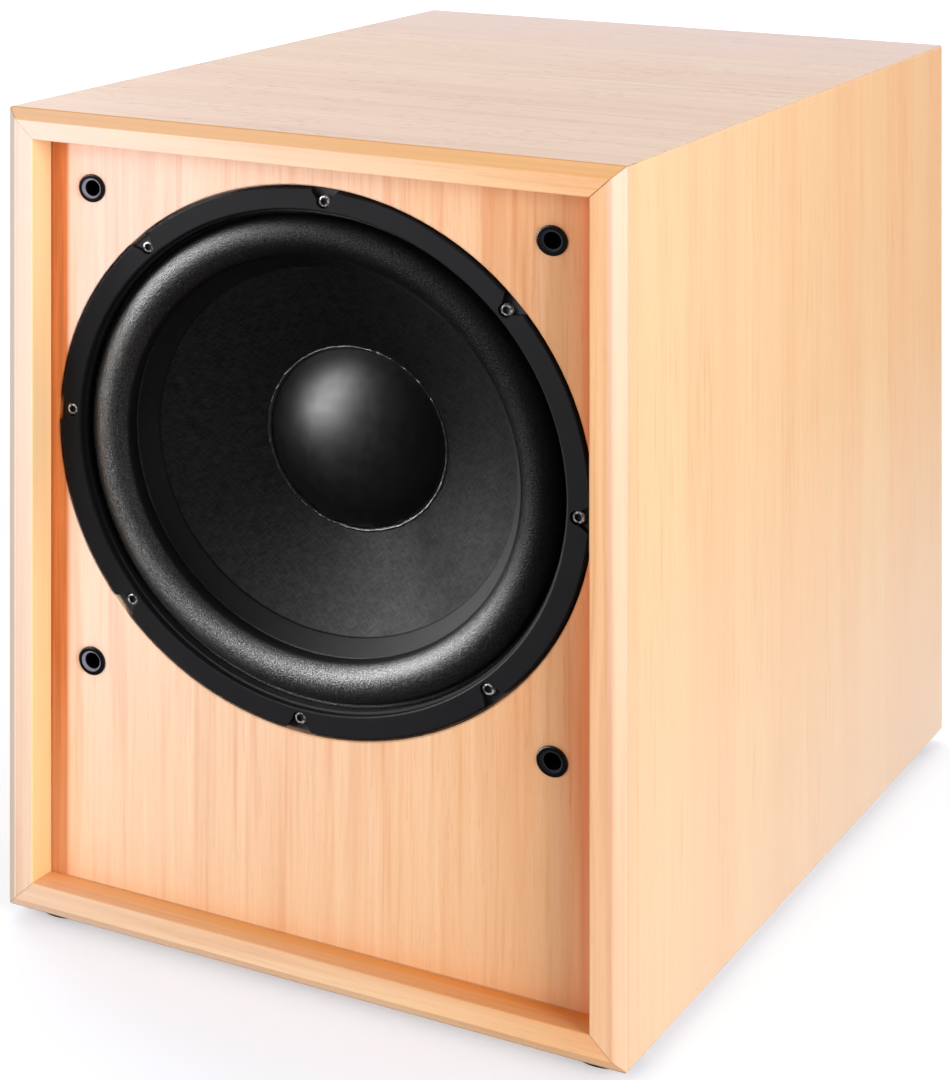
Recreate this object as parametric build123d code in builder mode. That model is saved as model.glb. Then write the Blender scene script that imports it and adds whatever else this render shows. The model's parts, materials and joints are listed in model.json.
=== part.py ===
from build123d import *
import math
import os

# Twelve-inch subwoofer cabinet. Millimetres, +Z up, front faces -Y, +X on the
# listener's right, origin on the floor at the centre of the overall footprint.
# Name endings: _W width, _H height, _D depth, _T thickness, _L length, _R radius.

os.makedirs("parts", exist_ok=True)

# ---------------------------------------------------------------- main sizes
CAB_W = 360.0            # outside width
CAB_H = 480.0            # outside height of the box without its feet
CAB_D = 700.0            # outside depth of the wooden box
WALL = 18.0              # panel thickness
REAR_OUT = 20.0          # how far the heatsink stands out behind the box
FRAME_D = 24.5           # depth of the front frame mouldings = baffle recess
FRAME_CHAMFER = 6.2      # 45 degree chamfer round the front frame
ARRIS = 1.2              # knocked-off outer arris of the mitred corners
SMALL_EASE = 0.8         # small chamfers and fillets on the woodwork
FOOT_H = 8.0
BAFFLE_T = 22.0
REAR_T = 18.0
REAR_INSET = 2.0

DRIVER_R = 155.5         # outer radius of the trim ring and basket flange
CUTOUT_R = 143.4
REBATE_R = 156.7
REBATE_D = 8.0
BOLT_CIRCLE_R = 148.5
BOLT_COUNT = 8
BOLT_PHASE = -2.7        # degrees
MOTOR_SETBACK = 13.5     # setback of spider, coil and motor

PLATE_W, PLATE_H, PLATE_T = 236.0, 296.0, 3.0    # amplifier plate
PLATE_CORNER_R = 6.0
PLATE_GASKET_T = 1.0

# ---------------------------------------------------------------- datums
Z_BOTTOM = FOOT_H
Z_TOP = FOOT_H + CAB_H
Z_MID = (Z_BOTTOM + Z_TOP) / 2
Z_DRIVER = Z_BOTTOM + 291.6
Y_FRONT = -(CAB_D + REAR_OUT) / 2
Y_BACK = Y_FRONT + CAB_D
Y_BAFFLE = Y_FRONT + FRAME_D                 # front face of the baffle
Y_BAFFLE_BACK = Y_BAFFLE + BAFFLE_T
Y_PANEL = Y_BACK - REAR_INSET                # outer face of the rear panel
Y_PLATE = Y_PANEL + PLATE_GASKET_T + PLATE_T   # outer face of the amplifier plate
HALF_W = CAB_W / 2
INNER_X = HALF_W - WALL
INNER_W = 2 * INNER_X
INNER_H = CAB_H - 2 * WALL


def front(y, x=0.0, z=0.0):
    """Plane facing the listener: local x = +X, local y = +Z."""
    return Plane(origin=(x, y, z), x_dir=(1, 0, 0), z_dir=(0, -1, 0))


def back(y, x=0.0, z=0.0):
    """Plane facing rearwards: local x = -X, local y = +Z."""
    return Plane(origin=(x, y, z), x_dir=(-1, 0, 0), z_dir=(0, 1, 0))


def driver_face(depth):
    """Front-facing plane on the driver axis, depth behind the baffle face."""
    return front(Y_BAFFLE + depth, z=Z_DRIVER)


def motor_face(depth):
    """As driver_face, for the parts that share the motor setback."""
    return driver_face(depth + MOTOR_SETBACK)


def set_back(points):
    """Shift (radius, depth) points rearwards by the motor setback."""
    return [(radius, depth + MOTOR_SETBACK) for radius, depth in points]


def bolt_circle():
    return PolarLocations(BOLT_CIRCLE_R, BOLT_COUNT, start_angle=BOLT_PHASE)


def save(part, name):
    part.part.label = name
    export_step(part.part, f"parts/{name}.step")


# Half-plane of the driver: local x = radius, local y = depth behind the baffle face
RADIAL = Plane(origin=(0, Y_BAFFLE, Z_DRIVER), x_dir=(1, 0, 0), z_dir=(0, 0, 1))
DRIVER_AXIS = Axis(origin=(0, Y_BAFFLE, Z_DRIVER), direction=(0, 1, 0))

# ================================================================ cabinet box
PANEL_L = Y_BACK - Y_BAFFLE

FOOT_X = 158.0
FOOT_INSET = 36.0        # foot centres from the front and back of the box
FEET = [(sign * FOOT_X, y) for sign in (-1, 1)
        for y in (Y_FRONT + FOOT_INSET, Y_BACK - FOOT_INSET)]
PILOT_R, PILOT_D = 2.45, 15.0

# Mitred cross sections (x, z), seen from the front
HALF_ARRIS = ARRIS / 2
TOP_OUTLINE = [
    (-HALF_W + ARRIS, Z_TOP), (HALF_W - ARRIS, Z_TOP),
    (HALF_W - HALF_ARRIS, Z_TOP - HALF_ARRIS), (INNER_X, Z_TOP - WALL),
    (-INNER_X, Z_TOP - WALL), (-HALF_W + HALF_ARRIS, Z_TOP - HALF_ARRIS)]
BOTTOM_OUTLINE = [
    (-HALF_W + ARRIS, Z_BOTTOM), (-HALF_W + HALF_ARRIS, Z_BOTTOM + HALF_ARRIS),
    (-INNER_X, Z_BOTTOM + WALL), (INNER_X, Z_BOTTOM + WALL),
    (HALF_W - HALF_ARRIS, Z_BOTTOM + HALF_ARRIS), (HALF_W - ARRIS, Z_BOTTOM)]
LEFT_OUTLINE = [
    (-HALF_W, Z_BOTTOM + ARRIS), (-HALF_W, Z_TOP - ARRIS),
    (-HALF_W + HALF_ARRIS, Z_TOP - HALF_ARRIS), (-INNER_X, Z_TOP - WALL),
    (-INNER_X, Z_BOTTOM + WALL), (-HALF_W + HALF_ARRIS, Z_BOTTOM + HALF_ARRIS)]
RIGHT_OUTLINE = [
    (HALF_W, Z_BOTTOM + ARRIS), (HALF_W - HALF_ARRIS, Z_BOTTOM + HALF_ARRIS),
    (INNER_X, Z_BOTTOM + WALL), (INNER_X, Z_TOP - WALL),
    (HALF_W - HALF_ARRIS, Z_TOP - HALF_ARRIS), (HALF_W, Z_TOP - ARRIS)]

# side, outline, axis along its edges, axis through its thickness,
# index of the outer edge and of the inner edge when sorted on that axis
SIDES = [
    ("top", TOP_OUTLINE, Axis.X, Axis.Z, -1, 0),
    ("bottom", BOTTOM_OUTLINE, Axis.X, Axis.Z, 0, -1),
    ("left", LEFT_OUTLINE, Axis.Z, Axis.X, 0, -1),
    ("right", RIGHT_OUTLINE, Axis.Z, Axis.X, -1, 0),
]

for side, outline, along, across, outer, inner in SIDES:
    # Panel, with its outer rear edge eased
    with BuildPart() as panel:
        with BuildSketch(front(Y_BAFFLE)):
            with BuildLine():
                Polyline(*outline, close=True)
            make_face()
        extrude(amount=-PANEL_L)
        rear_edges = panel.faces().sort_by(Axis.Y)[-1].edges().filter_by(along)
        chamfer(rear_edges.sort_by(across)[outer], SMALL_EASE)
        if side == "bottom":
            # pilot holes for the foot screws
            with BuildSketch(Plane.XY.offset(Z_BOTTOM)):
                with Locations(*FEET):
                    Circle(PILOT_R)
            extrude(amount=PILOT_D, mode=Mode.SUBTRACT)
    save(panel, f"panel_{side}")

    # Solid wood frame moulding: chamfered outer front edge, softened inner arris
    with BuildPart() as moulding:
        with BuildSketch(front(Y_BAFFLE)):
            with BuildLine():
                Polyline(*outline, close=True)
            make_face()
        extrude(amount=FRAME_D)
        front_edges = moulding.faces().sort_by(Axis.Y)[0].edges().filter_by(along)
        chamfer(front_edges.sort_by(across)[outer], FRAME_CHAMFER)
        front_edges = moulding.faces().sort_by(Axis.Y)[0].edges().filter_by(along)
        fillet(front_edges.sort_by(across)[inner], SMALL_EASE)
    save(moulding, f"frame_{side}")

# Front baffle: driver cutout with a flush rebate, tee-nut holes, grille socket holes
BOLT_HOLE_R = 2.7
NUT_HOLE_R, NUT_HOLE_D = 3.55, 9.0
SOCKET_HOLE_R = 6.1
SOCKET_DX, SOCKET_DZ = 135.0, 141.2      # grille sockets from the driver axis


def socket_grid():
    return GridLocations(2 * SOCKET_DX, 2 * SOCKET_DZ, 2, 2)


with BuildPart() as front_baffle:
    with BuildSketch(front(Y_BAFFLE, z=Z_MID)):
        Rectangle(INNER_W, INNER_H)
    extrude(amount=-BAFFLE_T)
    with BuildSketch(driver_face(0)):
        Circle(REBATE_R)
    extrude(amount=-REBATE_D, mode=Mode.SUBTRACT)
    chamfer(front_baffle.faces().sort_by(Axis.Y)[0].edges().filter_by(GeomType.CIRCLE),
            SMALL_EASE)
    with BuildSketch(driver_face(0)):
        Circle(CUTOUT_R)
    extrude(amount=-BAFFLE_T, mode=Mode.SUBTRACT)
    with BuildSketch(driver_face(0)):
        with bolt_circle():
            Circle(BOLT_HOLE_R)
        with socket_grid():
            Circle(SOCKET_HOLE_R)
    extrude(amount=-BAFFLE_T, mode=Mode.SUBTRACT)
    with BuildSketch(driver_face(BAFFLE_T)):
        with bolt_circle():
            Circle(NUT_HOLE_R)
    extrude(amount=NUT_HOLE_D, mode=Mode.SUBTRACT)
save(front_baffle, "front_baffle")

# Grille sockets: push-in cups with a flange, open to the front
SOCKET_FLANGE_R, SOCKET_FLANGE_T = 8.4, 1.8
SOCKET_CUP_R, SOCKET_CUP_D = 6.0, 18.0
SOCKET_MOUTH_R, SOCKET_MOUTH_D = 5.9, 1.6
SOCKET_BORE_R, SOCKET_BORE_D = 4.8, 17.8
with BuildPart() as grille_sockets:
    with BuildSketch(driver_face(0)):
        with socket_grid():
            Circle(SOCKET_FLANGE_R)
    extrude(amount=SOCKET_FLANGE_T)
    fillet(grille_sockets.faces().filter_by(Axis.Y).group_by(Axis.Y)[0].edges(), 0.9)
    with BuildSketch(driver_face(0)):
        with socket_grid():
            Circle(SOCKET_CUP_R)
    extrude(amount=-SOCKET_CUP_D)
    with BuildSketch(driver_face(-SOCKET_FLANGE_T)):
        with socket_grid():
            Circle(SOCKET_MOUTH_R)
    extrude(amount=-SOCKET_MOUTH_D, mode=Mode.SUBTRACT)
    with BuildSketch(driver_face(-SOCKET_FLANGE_T)):
        with socket_grid():
            Circle(SOCKET_BORE_R)
    extrude(amount=-SOCKET_BORE_D, mode=Mode.SUBTRACT)
save(grille_sockets, "grille_sockets")

# Rear panel with the amplifier cutout
AMP_CUT_W, AMP_CUT_H, AMP_CUT_R = 200.0, 260.0, 8
PLATE_PILOT_R = 1.85
PLATE_SCREWS = [(-110, -140), (110, -140), (-110, 140), (110, 140),
                (0, -140), (0, 140), (-110, 0), (110, 0)]
with BuildPart() as rear_panel:
    with BuildSketch(back(Y_PANEL, z=Z_MID)):
        Rectangle(INNER_W, INNER_H)
        RectangleRounded(AMP_CUT_W, AMP_CUT_H, AMP_CUT_R, mode=Mode.SUBTRACT)
        with Locations(*PLATE_SCREWS):
            Circle(PLATE_PILOT_R, mode=Mode.SUBTRACT)
    extrude(amount=-REAR_T)
save(rear_panel, "rear_panel")

# Glued cleats behind the front baffle and in front of the rear panel
CLEAT_T, CLEAT_D = 10.0, 18.0
CLEAT_END_GAPS = 1.0     # both ends of an upright cleat together
NUT_NOTCH_R, NUT_NOTCH_D = 8.5, 5.0
CLEAT_X = INNER_X - CLEAT_T / 2
CLEAT_Z = INNER_H / 2 - CLEAT_T / 2
with BuildPart() as glue_cleats:
    for y in (Y_BAFFLE_BACK, Y_PANEL - REAR_T - CLEAT_D):
        with BuildSketch(front(y, z=Z_MID)):
            with Locations((0, CLEAT_Z), (0, -CLEAT_Z)):
                Rectangle(INNER_W, CLEAT_T)
            with Locations((CLEAT_X, 0), (-CLEAT_X, 0)):
                Rectangle(CLEAT_T, INNER_H - 2 * CLEAT_T - CLEAT_END_GAPS)
        extrude(amount=-CLEAT_D)
    # notches that clear the tee nut flanges
    with BuildSketch(driver_face(BAFFLE_T)):
        with bolt_circle():
            Circle(NUT_NOTCH_R)
    extrude(amount=-NUT_NOTCH_D, mode=Mode.SUBTRACT)
save(glue_cleats, "glue_cleats")

# Window brace across the middle of the box
BRACE_SETBACK = 375      # from the front of the box
BRACE_T = 18.0
WINDOW_H, WINDOW_R = 160, 24
WINDOW_DZ = 106          # window centres above and below the middle
WINDOW_MARGINS = 90      # left and right margins together
with BuildPart() as window_brace:
    with BuildSketch(front(Y_FRONT + BRACE_SETBACK, z=Z_MID)):
        Rectangle(INNER_W, INNER_H)
        with Locations((0, WINDOW_DZ), (0, -WINDOW_DZ)):
            RectangleRounded(INNER_W - WINDOW_MARGINS, WINDOW_H, WINDOW_R, mode=Mode.SUBTRACT)
    extrude(amount=-BRACE_T)
save(window_brace, "window_brace")

# Felt pads on the inner side walls, in front of and behind the brace
FELT_SPANS = [(160, 360), (405, 640)]    # start and end from the front of the box
FELT_T, FELT_CORNER_R = 12.0, 4
FELT_X = INNER_X - 6.3
FELT_MARGIN = 45         # from the top and bottom of the box
with BuildPart() as felt_lining:
    for start, end in FELT_SPANS:
        with BuildSketch(Plane.XY.offset(Z_BOTTOM + FELT_MARGIN)):
            for sign in (-1, 1):
                with Locations((sign * FELT_X, Y_FRONT + (start + end) / 2)):
                    RectangleRounded(FELT_T, end - start, FELT_CORNER_R)
        extrude(amount=CAB_H - 2 * FELT_MARGIN)
save(felt_lining, "felt_lining")

# Rubber feet
FOOT_BOTTOM_R, FOOT_TOP_R = 14.2, 15.5
FOOT_BORE_R, FOOT_BORE_D = 7.0, 5.4      # counterbore from the floor side
FOOT_HOLE_R = 2.6
with BuildPart() as rubber_feet:
    with Locations(*[(x, y, 0) for x, y in FEET]):
        Cone(bottom_radius=FOOT_BOTTOM_R, top_radius=FOOT_TOP_R, height=FOOT_H,
             align=(Align.CENTER, Align.CENTER, Align.MIN))
    fillet(rubber_feet.faces().filter_by(Axis.Z).group_by(Axis.Z)[0].edges(), 1.0)
    with BuildSketch(Plane.XY):
        with Locations(*FEET):
            Circle(FOOT_BORE_R)
    extrude(amount=FOOT_BORE_D, mode=Mode.SUBTRACT)
    with BuildSketch(Plane.XY):
        with Locations(*FEET):
            Circle(FOOT_HOLE_R)
    extrude(amount=FOOT_H, mode=Mode.SUBTRACT)
save(rubber_feet, "rubber_feet")

# Flanged foot screws with a cross recess underneath
FOOT_FLANGE_R, FOOT_FLANGE_T = 6.2, 1.0
FOOT_HEAD_R, FOOT_HEAD_H = 4.2, 2.4
FOOT_CROSS_L, FOOT_CROSS_W, FOOT_CROSS_D = 4.4, 1.0, 1.4
FOOT_SHANK_R, FOOT_SHANK_L = 2.4, 16.0
Z_FOOT_FLANGE = FOOT_BORE_D - FOOT_FLANGE_T
with BuildPart() as foot_screws:
    with BuildSketch(Plane.XY.offset(FOOT_BORE_D)):
        with Locations(*FEET):
            Circle(FOOT_FLANGE_R)
    extrude(amount=-FOOT_FLANGE_T)
    with BuildSketch(Plane.XY.offset(Z_FOOT_FLANGE)):
        with Locations(*FEET):
            Circle(FOOT_HEAD_R)
    extrude(amount=-FOOT_HEAD_H)
    fillet(foot_screws.faces().filter_by(Axis.Z).group_by(Axis.Z)[0].edges(), 1.2)
    with BuildSketch(Plane.XY.offset(Z_FOOT_FLANGE - FOOT_HEAD_H)):
        with Locations(*FEET):
            Rectangle(FOOT_CROSS_L, FOOT_CROSS_W)
            Rectangle(FOOT_CROSS_W, FOOT_CROSS_L)
    extrude(amount=FOOT_CROSS_D, mode=Mode.SUBTRACT)
    with BuildSketch(Plane.XY.offset(FOOT_BORE_D)):
        with Locations(*FEET):
            Circle(FOOT_SHANK_R)
    extrude(amount=FOOT_SHANK_L)
save(foot_screws, "foot_screws")

# ================================================================ driver
# Depths are measured behind the baffle face; outlines are (radius, depth).
FLANGE_FRONT = 4.2       # front face of the basket flange
FLANGE_BACK = 7.0

# Trim ring with flared notches at the screws, standing proud of the baffle
RING_INNER_R = 142.5
RING_PROUD = 0.8
NOTCH_R, NOTCH_D = 4.0, 5.0
NOTCH_FLARE = [(1.0, -4.0), (9.5, -9.6), (9.5, 9.6), (1.0, 4.0)]   # x outwards from the screw
with BuildPart() as driver_trim_ring:
    with BuildSketch(RADIAL):
        with BuildLine():
            Polyline((RING_INNER_R, -RING_PROUD), (DRIVER_R, -RING_PROUD),
                     (DRIVER_R, FLANGE_FRONT), (RING_INNER_R, FLANGE_FRONT), close=True)
        make_face()
    revolve(axis=DRIVER_AXIS)
    fillet(driver_trim_ring.faces().sort_by(Axis.Y)[0].edges(), 1.2)
    with BuildSketch(driver_face(-RING_PROUD)):
        with bolt_circle():
            Circle(NOTCH_R)
            Polygon(*NOTCH_FLARE, align=None)
    extrude(amount=-NOTCH_D, mode=Mode.SUBTRACT)
save(driver_trim_ring, "driver_trim_ring")

# Cast basket: flange, surround ledge, six spokes, spider ledge and motor plate
BASKET_OUTLINE = [
    (DRIVER_R, FLANGE_FRONT), (141.2, FLANGE_FRONT), (141.2, 12.6), (134.6, 12.6), (134.6, 16.0),
    *set_back([(86.5, 77.5), (86.5, 80.0), (76.5, 80.0), (76.5, 95.0), (37.0, 95.0),
               (37.0, 98.0), (79.0, 98.0), (79.0, 82.6), (89.3, 82.6), (89.3, 78.0)]),
    (137.4, 16.6), (137.4, 15.2), (142.8, 15.2), (142.8, FLANGE_BACK), (DRIVER_R, FLANGE_BACK)]
OPENING_OUTER_R, OPENING_INNER_R = 131.0, 92.5   # openings between the spokes
OPENING_FRONT = 18.5
OPENING_D = 57.0 + MOTOR_SETBACK
SPOKE_BAR_L, SPOKE_W = 300.0, 24.0               # each bar leaves two opposite spokes
FLANGE_HOLE_R = 2.8
with BuildPart() as driver_basket:
    with BuildSketch(RADIAL):
        with BuildLine():
            Polyline(*BASKET_OUTLINE, close=True)
        make_face()
    revolve(axis=DRIVER_AXIS)
    with BuildSketch(driver_face(OPENING_FRONT)):
        Circle(OPENING_OUTER_R)
        Circle(OPENING_INNER_R, mode=Mode.SUBTRACT)
        with PolarLocations(0.0, 3, start_angle=30):
            Rectangle(SPOKE_BAR_L, SPOKE_W, mode=Mode.SUBTRACT)
    extrude(amount=-OPENING_D, mode=Mode.SUBTRACT)
    # screw holes, cut from just in front of the flange to just behind it
    with BuildSketch(driver_face(4.0)):
        with bolt_circle():
            Circle(FLANGE_HOLE_R)
    extrude(amount=-3.5, mode=Mode.SUBTRACT)
save(driver_basket, "driver_basket")

# Foam gasket between the flange and the rebate
GASKET_OUTER_R = DRIVER_R - 0.4
GASKET_INNER_R = CUTOUT_R + 0.3
GASKET_HOLE_R = 2.9
with BuildPart() as mounting_gasket:
    with BuildSketch(driver_face(FLANGE_BACK)):
        Circle(GASKET_OUTER_R)
        Circle(GASKET_INNER_R, mode=Mode.SUBTRACT)
        with bolt_circle():
            Circle(GASKET_HOLE_R, mode=Mode.SUBTRACT)
    extrude(amount=-(REBATE_D - FLANGE_BACK))
save(mounting_gasket, "mounting_gasket")

# Hex-socket screws through the flange, with a domed head
BOLT_HEAD_R, BOLT_HEAD_H = 3.4, 3.2
HEX_R, HEX_D = 2.0, 1.9
BOLT_SHANK_R, BOLT_SHANK_L = 2.5, 24.0
with BuildPart() as driver_screws:
    with BuildSketch(driver_face(FLANGE_FRONT)):
        with bolt_circle():
            Circle(BOLT_HEAD_R)
    extrude(amount=BOLT_HEAD_H)
    fillet(driver_screws.faces().filter_by(Axis.Y).group_by(Axis.Y)[0].edges(), 1.0)
    with BuildSketch(driver_face(FLANGE_FRONT - BOLT_HEAD_H)):
        with bolt_circle():
            RegularPolygon(HEX_R, 6)
    extrude(amount=-HEX_D, mode=Mode.SUBTRACT)
    with BuildSketch(driver_face(FLANGE_FRONT)):
        with bolt_circle():
            Circle(BOLT_SHANK_R)
    extrude(amount=-BOLT_SHANK_L)
save(driver_screws, "driver_screws")

# Tee nuts pressed into the back of the baffle
NUT_FLANGE_R, NUT_FLANGE_T = 7.0, 1.2
NUT_BARREL_R, NUT_BARREL_L = 3.5, 8.6
NUT_BORE_R = 2.52
with BuildPart() as tee_nuts:
    with BuildSketch(driver_face(BAFFLE_T)):
        with bolt_circle():
            Circle(NUT_FLANGE_R)
            Circle(NUT_BORE_R, mode=Mode.SUBTRACT)
    extrude(amount=-NUT_FLANGE_T)
    with BuildSketch(driver_face(BAFFLE_T)):
        with bolt_circle():
            Circle(NUT_BARREL_R)
            Circle(NUT_BORE_R, mode=Mode.SUBTRACT)
    extrude(amount=NUT_BARREL_L)
save(tee_nuts, "tee_nuts")

# Half-roll surround: outer lip on the basket ledge, inner flange on the cone.
# The front skin runs inwards, the back skin returns outwards.
with BuildPart() as surround:
    with BuildSketch(RADIAL):
        with BuildLine():
            lip_front = Line((140.9, 11.4), (138.8, 11.4))
            roll_front = ThreePointArc(lip_front @ 1, (127.6, 0.6), (116.2, 19.8))
            flange_front = Line(roll_front @ 1, (105.9, 29.2))
            flange_end = Line(flange_front @ 1, (105.9, 30.4))
            flange_back = Line(flange_end @ 1, (117.3, 20.5))
            roll_back = ThreePointArc(flange_back @ 1, (127.6, 1.7), (137.8, 12.45))
            lip_back = Line(roll_back @ 1, (140.9, 12.45))
            Line(lip_back @ 1, lip_front @ 0)
        make_face()
    revolve(axis=DRIVER_AXIS)
save(surround, "surround")

# Paper cone: outer rim, gently flared body and neck.
# The front skin is an arc through these three points.
CONE_OUTER = (105.7, 31.2)
CONE_MIDDLE = (69.5, 55.6)
CONE_INNER = (31.95, 69.9 + MOTOR_SETBACK)
RIM_TIP = (117.4, 20.9)
NECK = set_back([(31.95, 74.0), (33.1, 74.0), (33.1, 71.8)])
with BuildPart() as cone:
    with BuildSketch(RADIAL):
        with BuildLine():
            Line(RIM_TIP, CONE_OUTER)
            front_skin = ThreePointArc(CONE_OUTER, CONE_MIDDLE, CONE_INNER)
            neck = Polyline(front_skin @ 1, *NECK)
            back_skin = ThreePointArc(neck @ 1, (70.2, 56.8), (106.1, 32.4))
            Polyline(back_skin @ 1, (118.0, 21.9), RIM_TIP)
        make_face()
    revolve(axis=DRIVER_AXIS)
save(cone, "cone")


def arc_centre(start, middle, end):
    """Centre of the circle through three (radius, depth) points."""
    (start_r, start_s), (mid_r, mid_s), (end_r, end_s) = start, middle, end
    start_sq = start_r**2 + start_s**2
    mid_sq = mid_r**2 + mid_s**2
    end_sq = end_r**2 + end_s**2
    scale = 2 * (start_r * (mid_s - end_s) + mid_r * (end_s - start_s)
                 + end_r * (start_s - mid_s))
    centre_r = (start_sq * (mid_s - end_s) + mid_sq * (end_s - start_s)
                + end_sq * (start_s - mid_s)) / scale
    centre_s = (start_sq * (end_r - mid_r) + mid_sq * (start_r - end_r)
                + end_sq * (mid_r - start_r)) / scale
    return centre_r, centre_s


def cone_depth(radius):
    """Depth of the cone's front skin; the arc's centre lies behind the skin."""
    centre_r, centre_s = arc_centre(CONE_OUTER, CONE_MIDDLE, CONE_INNER)
    arc_r = math.hypot(CONE_OUTER[0] - centre_r, CONE_OUTER[1] - centre_s)
    return centre_s - math.sqrt(arc_r**2 - (radius - centre_r) ** 2)


# Dust cap: shallow pressed dome bulging forwards
CAP_R, CAP_H, CAP_T = 52.0, 19.5, 0.8
CAP_RIM = cone_depth(CAP_R) - 0.42       # depth of the rim, just in front of the cone
CAP_SPHERE_R = (CAP_R**2 + CAP_H**2) / (2 * CAP_H)
CAP_CENTRE = CAP_RIM - CAP_H + CAP_SPHERE_R
CAP_HALF_ANGLE = math.asin(CAP_R / CAP_SPHERE_R)


def cap_point(sphere_r, angle):
    return (sphere_r * math.sin(angle), CAP_CENTRE - sphere_r * math.cos(angle))


def cap_arc_points(sphere_r):
    """Centre, middle and rim points of a dome skin."""
    return [cap_point(sphere_r, CAP_HALF_ANGLE * part) for part in (0, 0.5, 1)]


CAP_FRONT = cap_arc_points(CAP_SPHERE_R)
CAP_BACK = cap_arc_points(CAP_SPHERE_R - CAP_T)
with BuildPart() as dust_cap:
    with BuildSketch(RADIAL):
        with BuildLine():
            ThreePointArc(*CAP_FRONT)
            Line(CAP_FRONT[-1], CAP_BACK[-1])
            ThreePointArc(*reversed(CAP_BACK))
            Line(CAP_BACK[0], CAP_FRONT[0])
        make_face()
    revolve(axis=DRIVER_AXIS)
save(dust_cap, "dust_cap")

# Adhesive bead in the corner between dust cap and cone:
# (radius beyond the cap rim, distance in front of the cone skin)
BEAD = [(0.12, 1.3), (0.9, 1.5), (2.2, 0.4), (2.3, 0.08), (0.12, 0.08)]
with BuildPart() as dust_cap_adhesive:
    with BuildSketch(RADIAL):
        with BuildLine():
            Polyline(*[(CAP_R + beyond, cone_depth(CAP_R + beyond) - ahead)
                       for beyond, ahead in BEAD], close=True)
        make_face()
    revolve(axis=DRIVER_AXIS)
save(dust_cap_adhesive, "dust_cap_adhesive")

# Voice coil former and winding
FORMER_FRONT, FORMER_L = 66.0, 55.0
FORMER_OUTER_R, FORMER_INNER_R = 31.85, 31.3
with BuildPart() as voice_coil_former:
    with BuildSketch(motor_face(FORMER_FRONT)):
        Circle(FORMER_OUTER_R)
        Circle(FORMER_INNER_R, mode=Mode.SUBTRACT)
    extrude(amount=-FORMER_L)
save(voice_coil_former, "voice_coil_former")

WINDING_FRONT, WINDING_L = 88.0, 30.0
WINDING_OUTER_R, WINDING_INNER_R = 33.0, 31.9
with BuildPart() as voice_coil_winding:
    with BuildSketch(motor_face(WINDING_FRONT)):
        Circle(WINDING_OUTER_R)
        Circle(WINDING_INNER_R, mode=Mode.SUBTRACT)
    extrude(amount=-WINDING_L)
save(voice_coil_winding, "voice_coil_winding")

# Corrugated spider: sine waves sampled four times a wave, then a flat outer rim
WAVE_COUNT = 6
WAVE_START_R, WAVE_END_R = 35.0, 77.0
WAVE_PITCH = (WAVE_END_R - WAVE_START_R) / WAVE_COUNT
WAVE_DEPTH, WAVE_AMPLITUDE = 77.6, 1.7
SPIDER_T = 0.75
SPIDER_RIM = set_back([(74.7, 78.9), (85.6, 78.9), (85.6, 79.8), (74.2, 79.8)])
SPIDER_NECK = set_back([(32.1, 79.0), (32.1, 77.0)])
FRONT_WAVE = set_back([
    (WAVE_START_R + WAVE_PITCH * k / 4, WAVE_DEPTH - WAVE_AMPLITUDE * math.sin(math.pi * k / 2))
    for k in range(4 * WAVE_COUNT - 1)])
BACK_WAVE = [(radius, depth + SPIDER_T) for radius, depth in reversed(FRONT_WAVE)]
with BuildPart() as spider:
    with BuildSketch(RADIAL):
        with BuildLine():
            front_wave = Spline(*FRONT_WAVE)
            Polyline(front_wave @ 1, *SPIDER_RIM, BACK_WAVE[0])
            back_wave = Spline(*BACK_WAVE)
            Polyline(back_wave @ 1, *SPIDER_NECK, front_wave @ 0)
        make_face()
    revolve(axis=DRIVER_AXIS)
save(spider, "spider")

# Motor: top plate, ferrite ring, pole piece with back plate
TOP_PLATE_FRONT, TOP_PLATE_T = 98.0, 8.0
TOP_PLATE_R, GAP_R = 72.0, 33.7
with BuildPart() as motor_top_plate:
    with BuildSketch(motor_face(TOP_PLATE_FRONT)):
        Circle(TOP_PLATE_R)
        Circle(GAP_R, mode=Mode.SUBTRACT)
    extrude(amount=-TOP_PLATE_T)
    front_edges = motor_top_plate.faces().sort_by(Axis.Y)[0].edges()
    chamfer(front_edges.sort_by(SortBy.LENGTH)[-1], 1.0)
save(motor_top_plate, "motor_top_plate")

MAGNET_OUTER_R, MAGNET_INNER_R, MAGNET_T = 79.0, 41.0, 30.0
with BuildPart() as motor_magnet:
    with BuildSketch(motor_face(TOP_PLATE_FRONT + TOP_PLATE_T)):
        Circle(MAGNET_OUTER_R)
        Circle(MAGNET_INNER_R, mode=Mode.SUBTRACT)
    extrude(amount=-MAGNET_T)
    flat_edges = motor_magnet.faces().filter_by(Axis.Y).edges()
    chamfer(flat_edges.group_by(SortBy.LENGTH)[-1], 1.5)
save(motor_magnet, "motor_magnet")

YOKE_OUTLINE = set_back([
    (13.0, 97.0), (30.7, 97.0), (30.7, 132.0), (34.0, 136.0),
    (74.0, 136.0), (74.0, 142.0), (70.0, 146.0), (13.0, 146.0)])
with BuildPart() as motor_yoke:
    with BuildSketch(RADIAL):
        with BuildLine():
            Polyline(*YOKE_OUTLINE, close=True)
        make_face()
    revolve(axis=DRIVER_AXIS)
save(motor_yoke, "motor_yoke")

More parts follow.
